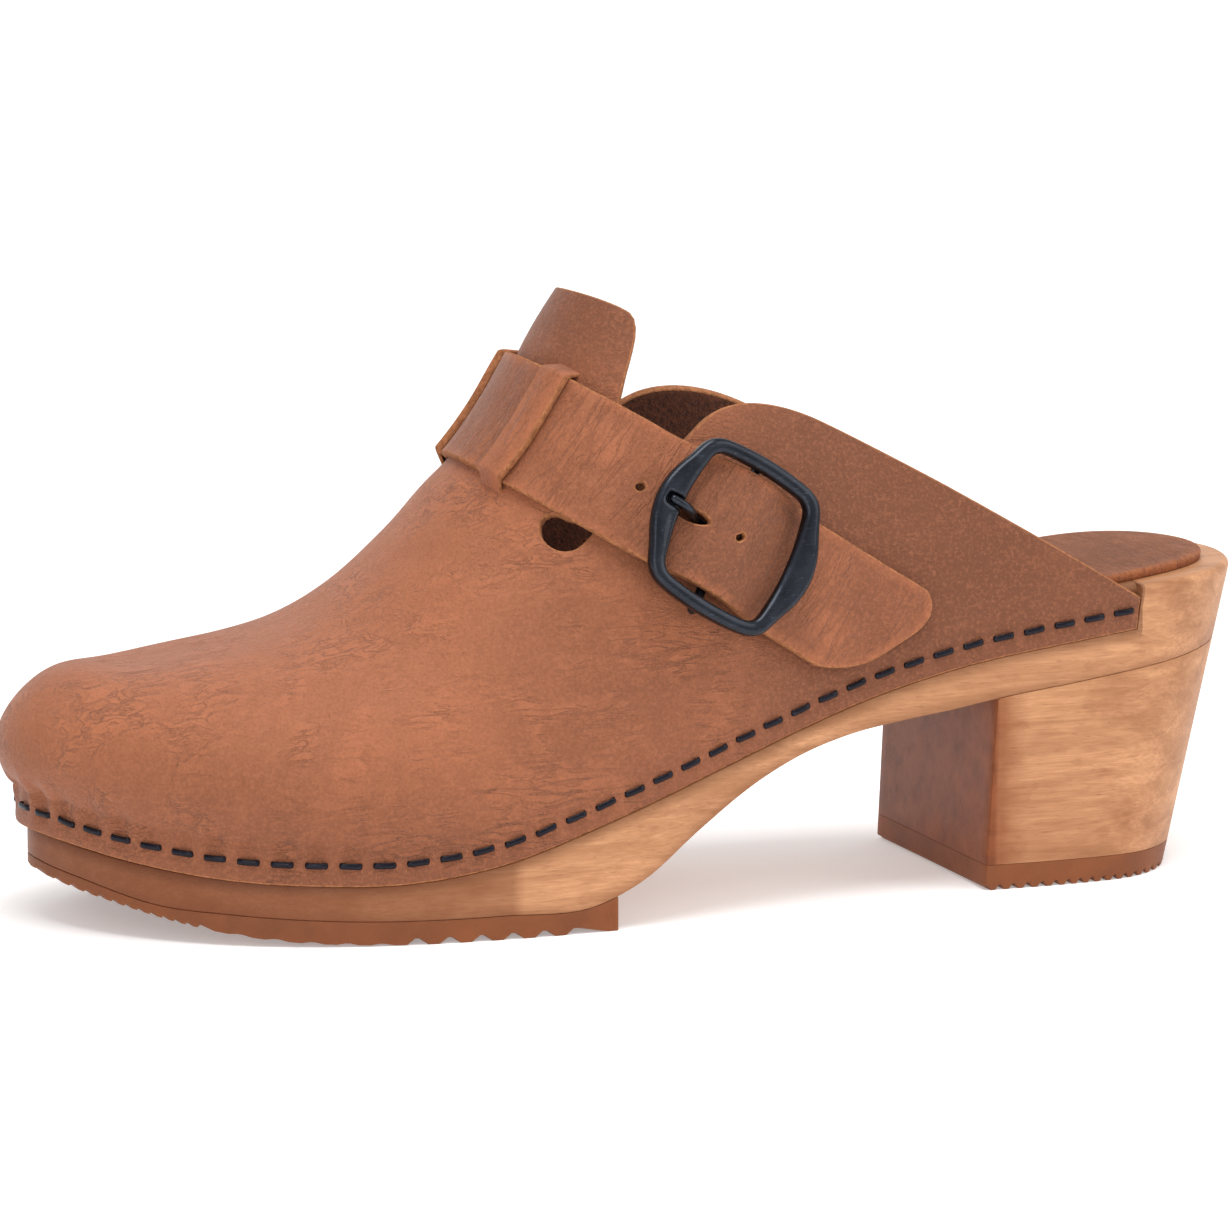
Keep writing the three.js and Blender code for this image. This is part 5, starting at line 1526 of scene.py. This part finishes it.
def set_stage(context):
    """Paper that lies flat and sweeps up behind, one large soft light over it and two at its
    sides, a pale sky, and the camera."""
    u, v = np.meshgrid(np.linspace(0, 1, 60), np.linspace(-1, 1, 3), indexing="ij")
    flat, bend, wall = 3000.0, 900.0, 2500.0
    run = u * (flat + bend * math.pi / 2 + wall)
    over = np.clip((run - flat) / bend, 0, math.pi / 2)
    back = np.minimum(run, flat) + bend * np.sin(over)
    up = bend * (1 - np.cos(over)) + np.maximum(run - flat - bend * math.pi / 2, 0)
    turn = math.radians(-20)
    x = 117.5 + v * 3500 * math.cos(turn) - (back - 1800) * math.sin(turn)
    y = v * 3500 * math.sin(turn) + (back - 1800) * math.cos(turn)
    points = np.stack([x, y, up], -1).reshape(-1, 3)
    paper = new_piece("studio_paper", points, list(quads(60, 3)), [finish_of("paper")])

    def light(name, at, size, power, target=(117.5, 0, 40)):
        data = bpy.data.lights.new(name, "AREA")
        data.shape, data.size, data.energy = "DISK", size, power
        lamp = bpy.data.objects.new(name, data)
        context.scene.collection.objects.link(lamp)
        lamp.location = metres(at)
        aim = Vector(metres(target)) - lamp.location
        lamp.rotation_euler = aim.to_track_quat("-Z", "Y").to_euler()

    light("overhead softbox", (20, -350, 1500), 1.0, 15)
    light("front fill", (-700, -1300, 450), 1.0, 4.5)
    light("rear fill", (1000, -600, 600), 0.8, 3.5)
    world = bpy.data.worlds.new("pale sky")
    context.scene.world = world
    world.use_nodes = True
    world.node_tree.nodes["Background"].inputs[0].default_value = (1, 1, 1, 1)
    world.node_tree.nodes["Background"].inputs[1].default_value = 0.5

    azimuth, elevation, distance = math.radians(-20), math.radians(9.5), 1500.0
    target = np.array([117.5, 0.0, 54.0])
    back = np.array([math.sin(azimuth) * math.cos(elevation),
                     -math.cos(azimuth) * math.cos(elevation), math.sin(elevation)])
    data = bpy.data.cameras.new("camera")
    data.sensor_width, data.lens = 36.0, 225.0
    data.clip_start, data.clip_end = 0.05, 20.0
    camera = bpy.data.objects.new("camera", data)
    context.scene.collection.objects.link(camera)
    camera.location = metres(target + back * distance)
    camera.rotation_euler = Vector(-back).to_track_quat("-Z", "Y").to_euler()
    context.scene.camera = camera
    context.scene.view_settings.view_transform = "Standard"


OPERATORS = [build(*row) for row in (
    ("wood", "Wood", "Toe plank and heel block", lay_wood),
    ("rubber", "Rubber", "Toe outsole and heel top lift", lay_rubber),
    ("upper", "Upper", "Vamp, tongue and quarters with the two loops", lay_upper),
    ("strap", "Strap", "Instep strap", lay_strap),
    ("buckle", "Buckle", "Buckle frame, prong and keeper", lay_buckle),
    ("pad", "Heel pad", "Leather pad on the heel seat", lay_pad),
    ("staples", "Staples", "Staples round both sides", lay_staples),
    ("hardware", "Hardware", "Finish of the screws and rivets", finish_hardware),
    ("stage", "Stage", "Floor, lights and camera", set_stage),
)]


class CLOG_PT_sidebar(bpy.types.Panel):
    """Lists what can be built"""

    bl_label = "Wooden clog"
    bl_idname = "CLOG_PT_sidebar"
    bl_space_type = "VIEW_3D"
    bl_region_type = "UI"
    bl_category = "Clog"

    def draw(self, context):
        for group in (context.scene.clog_sizes, context.scene.clog_colours):
            box = self.layout.box()
            for key in group.__annotations__:
                box.prop(group, key)
        for operator in OPERATORS:
            self.layout.operator(operator.bl_idname)


CLASSES = [ClogSizes, ClogColours, *OPERATORS, CLOG_PT_sidebar]


def register():
    for cls in CLASSES:
        bpy.utils.register_class(cls)
    bpy.types.Scene.clog_sizes = PointerProperty(type=ClogSizes)
    bpy.types.Scene.clog_colours = PointerProperty(type=ClogColours)


def unregister():
    del bpy.types.Scene.clog_sizes, bpy.types.Scene.clog_colours
    for cls in reversed(CLASSES):
        bpy.utils.unregister_class(cls)


def main():
    register()
    for operator in OPERATORS:
        getattr(bpy.ops.clog, operator.bl_idname.split(".")[1])()


if __name__ == "__main__":
    main()
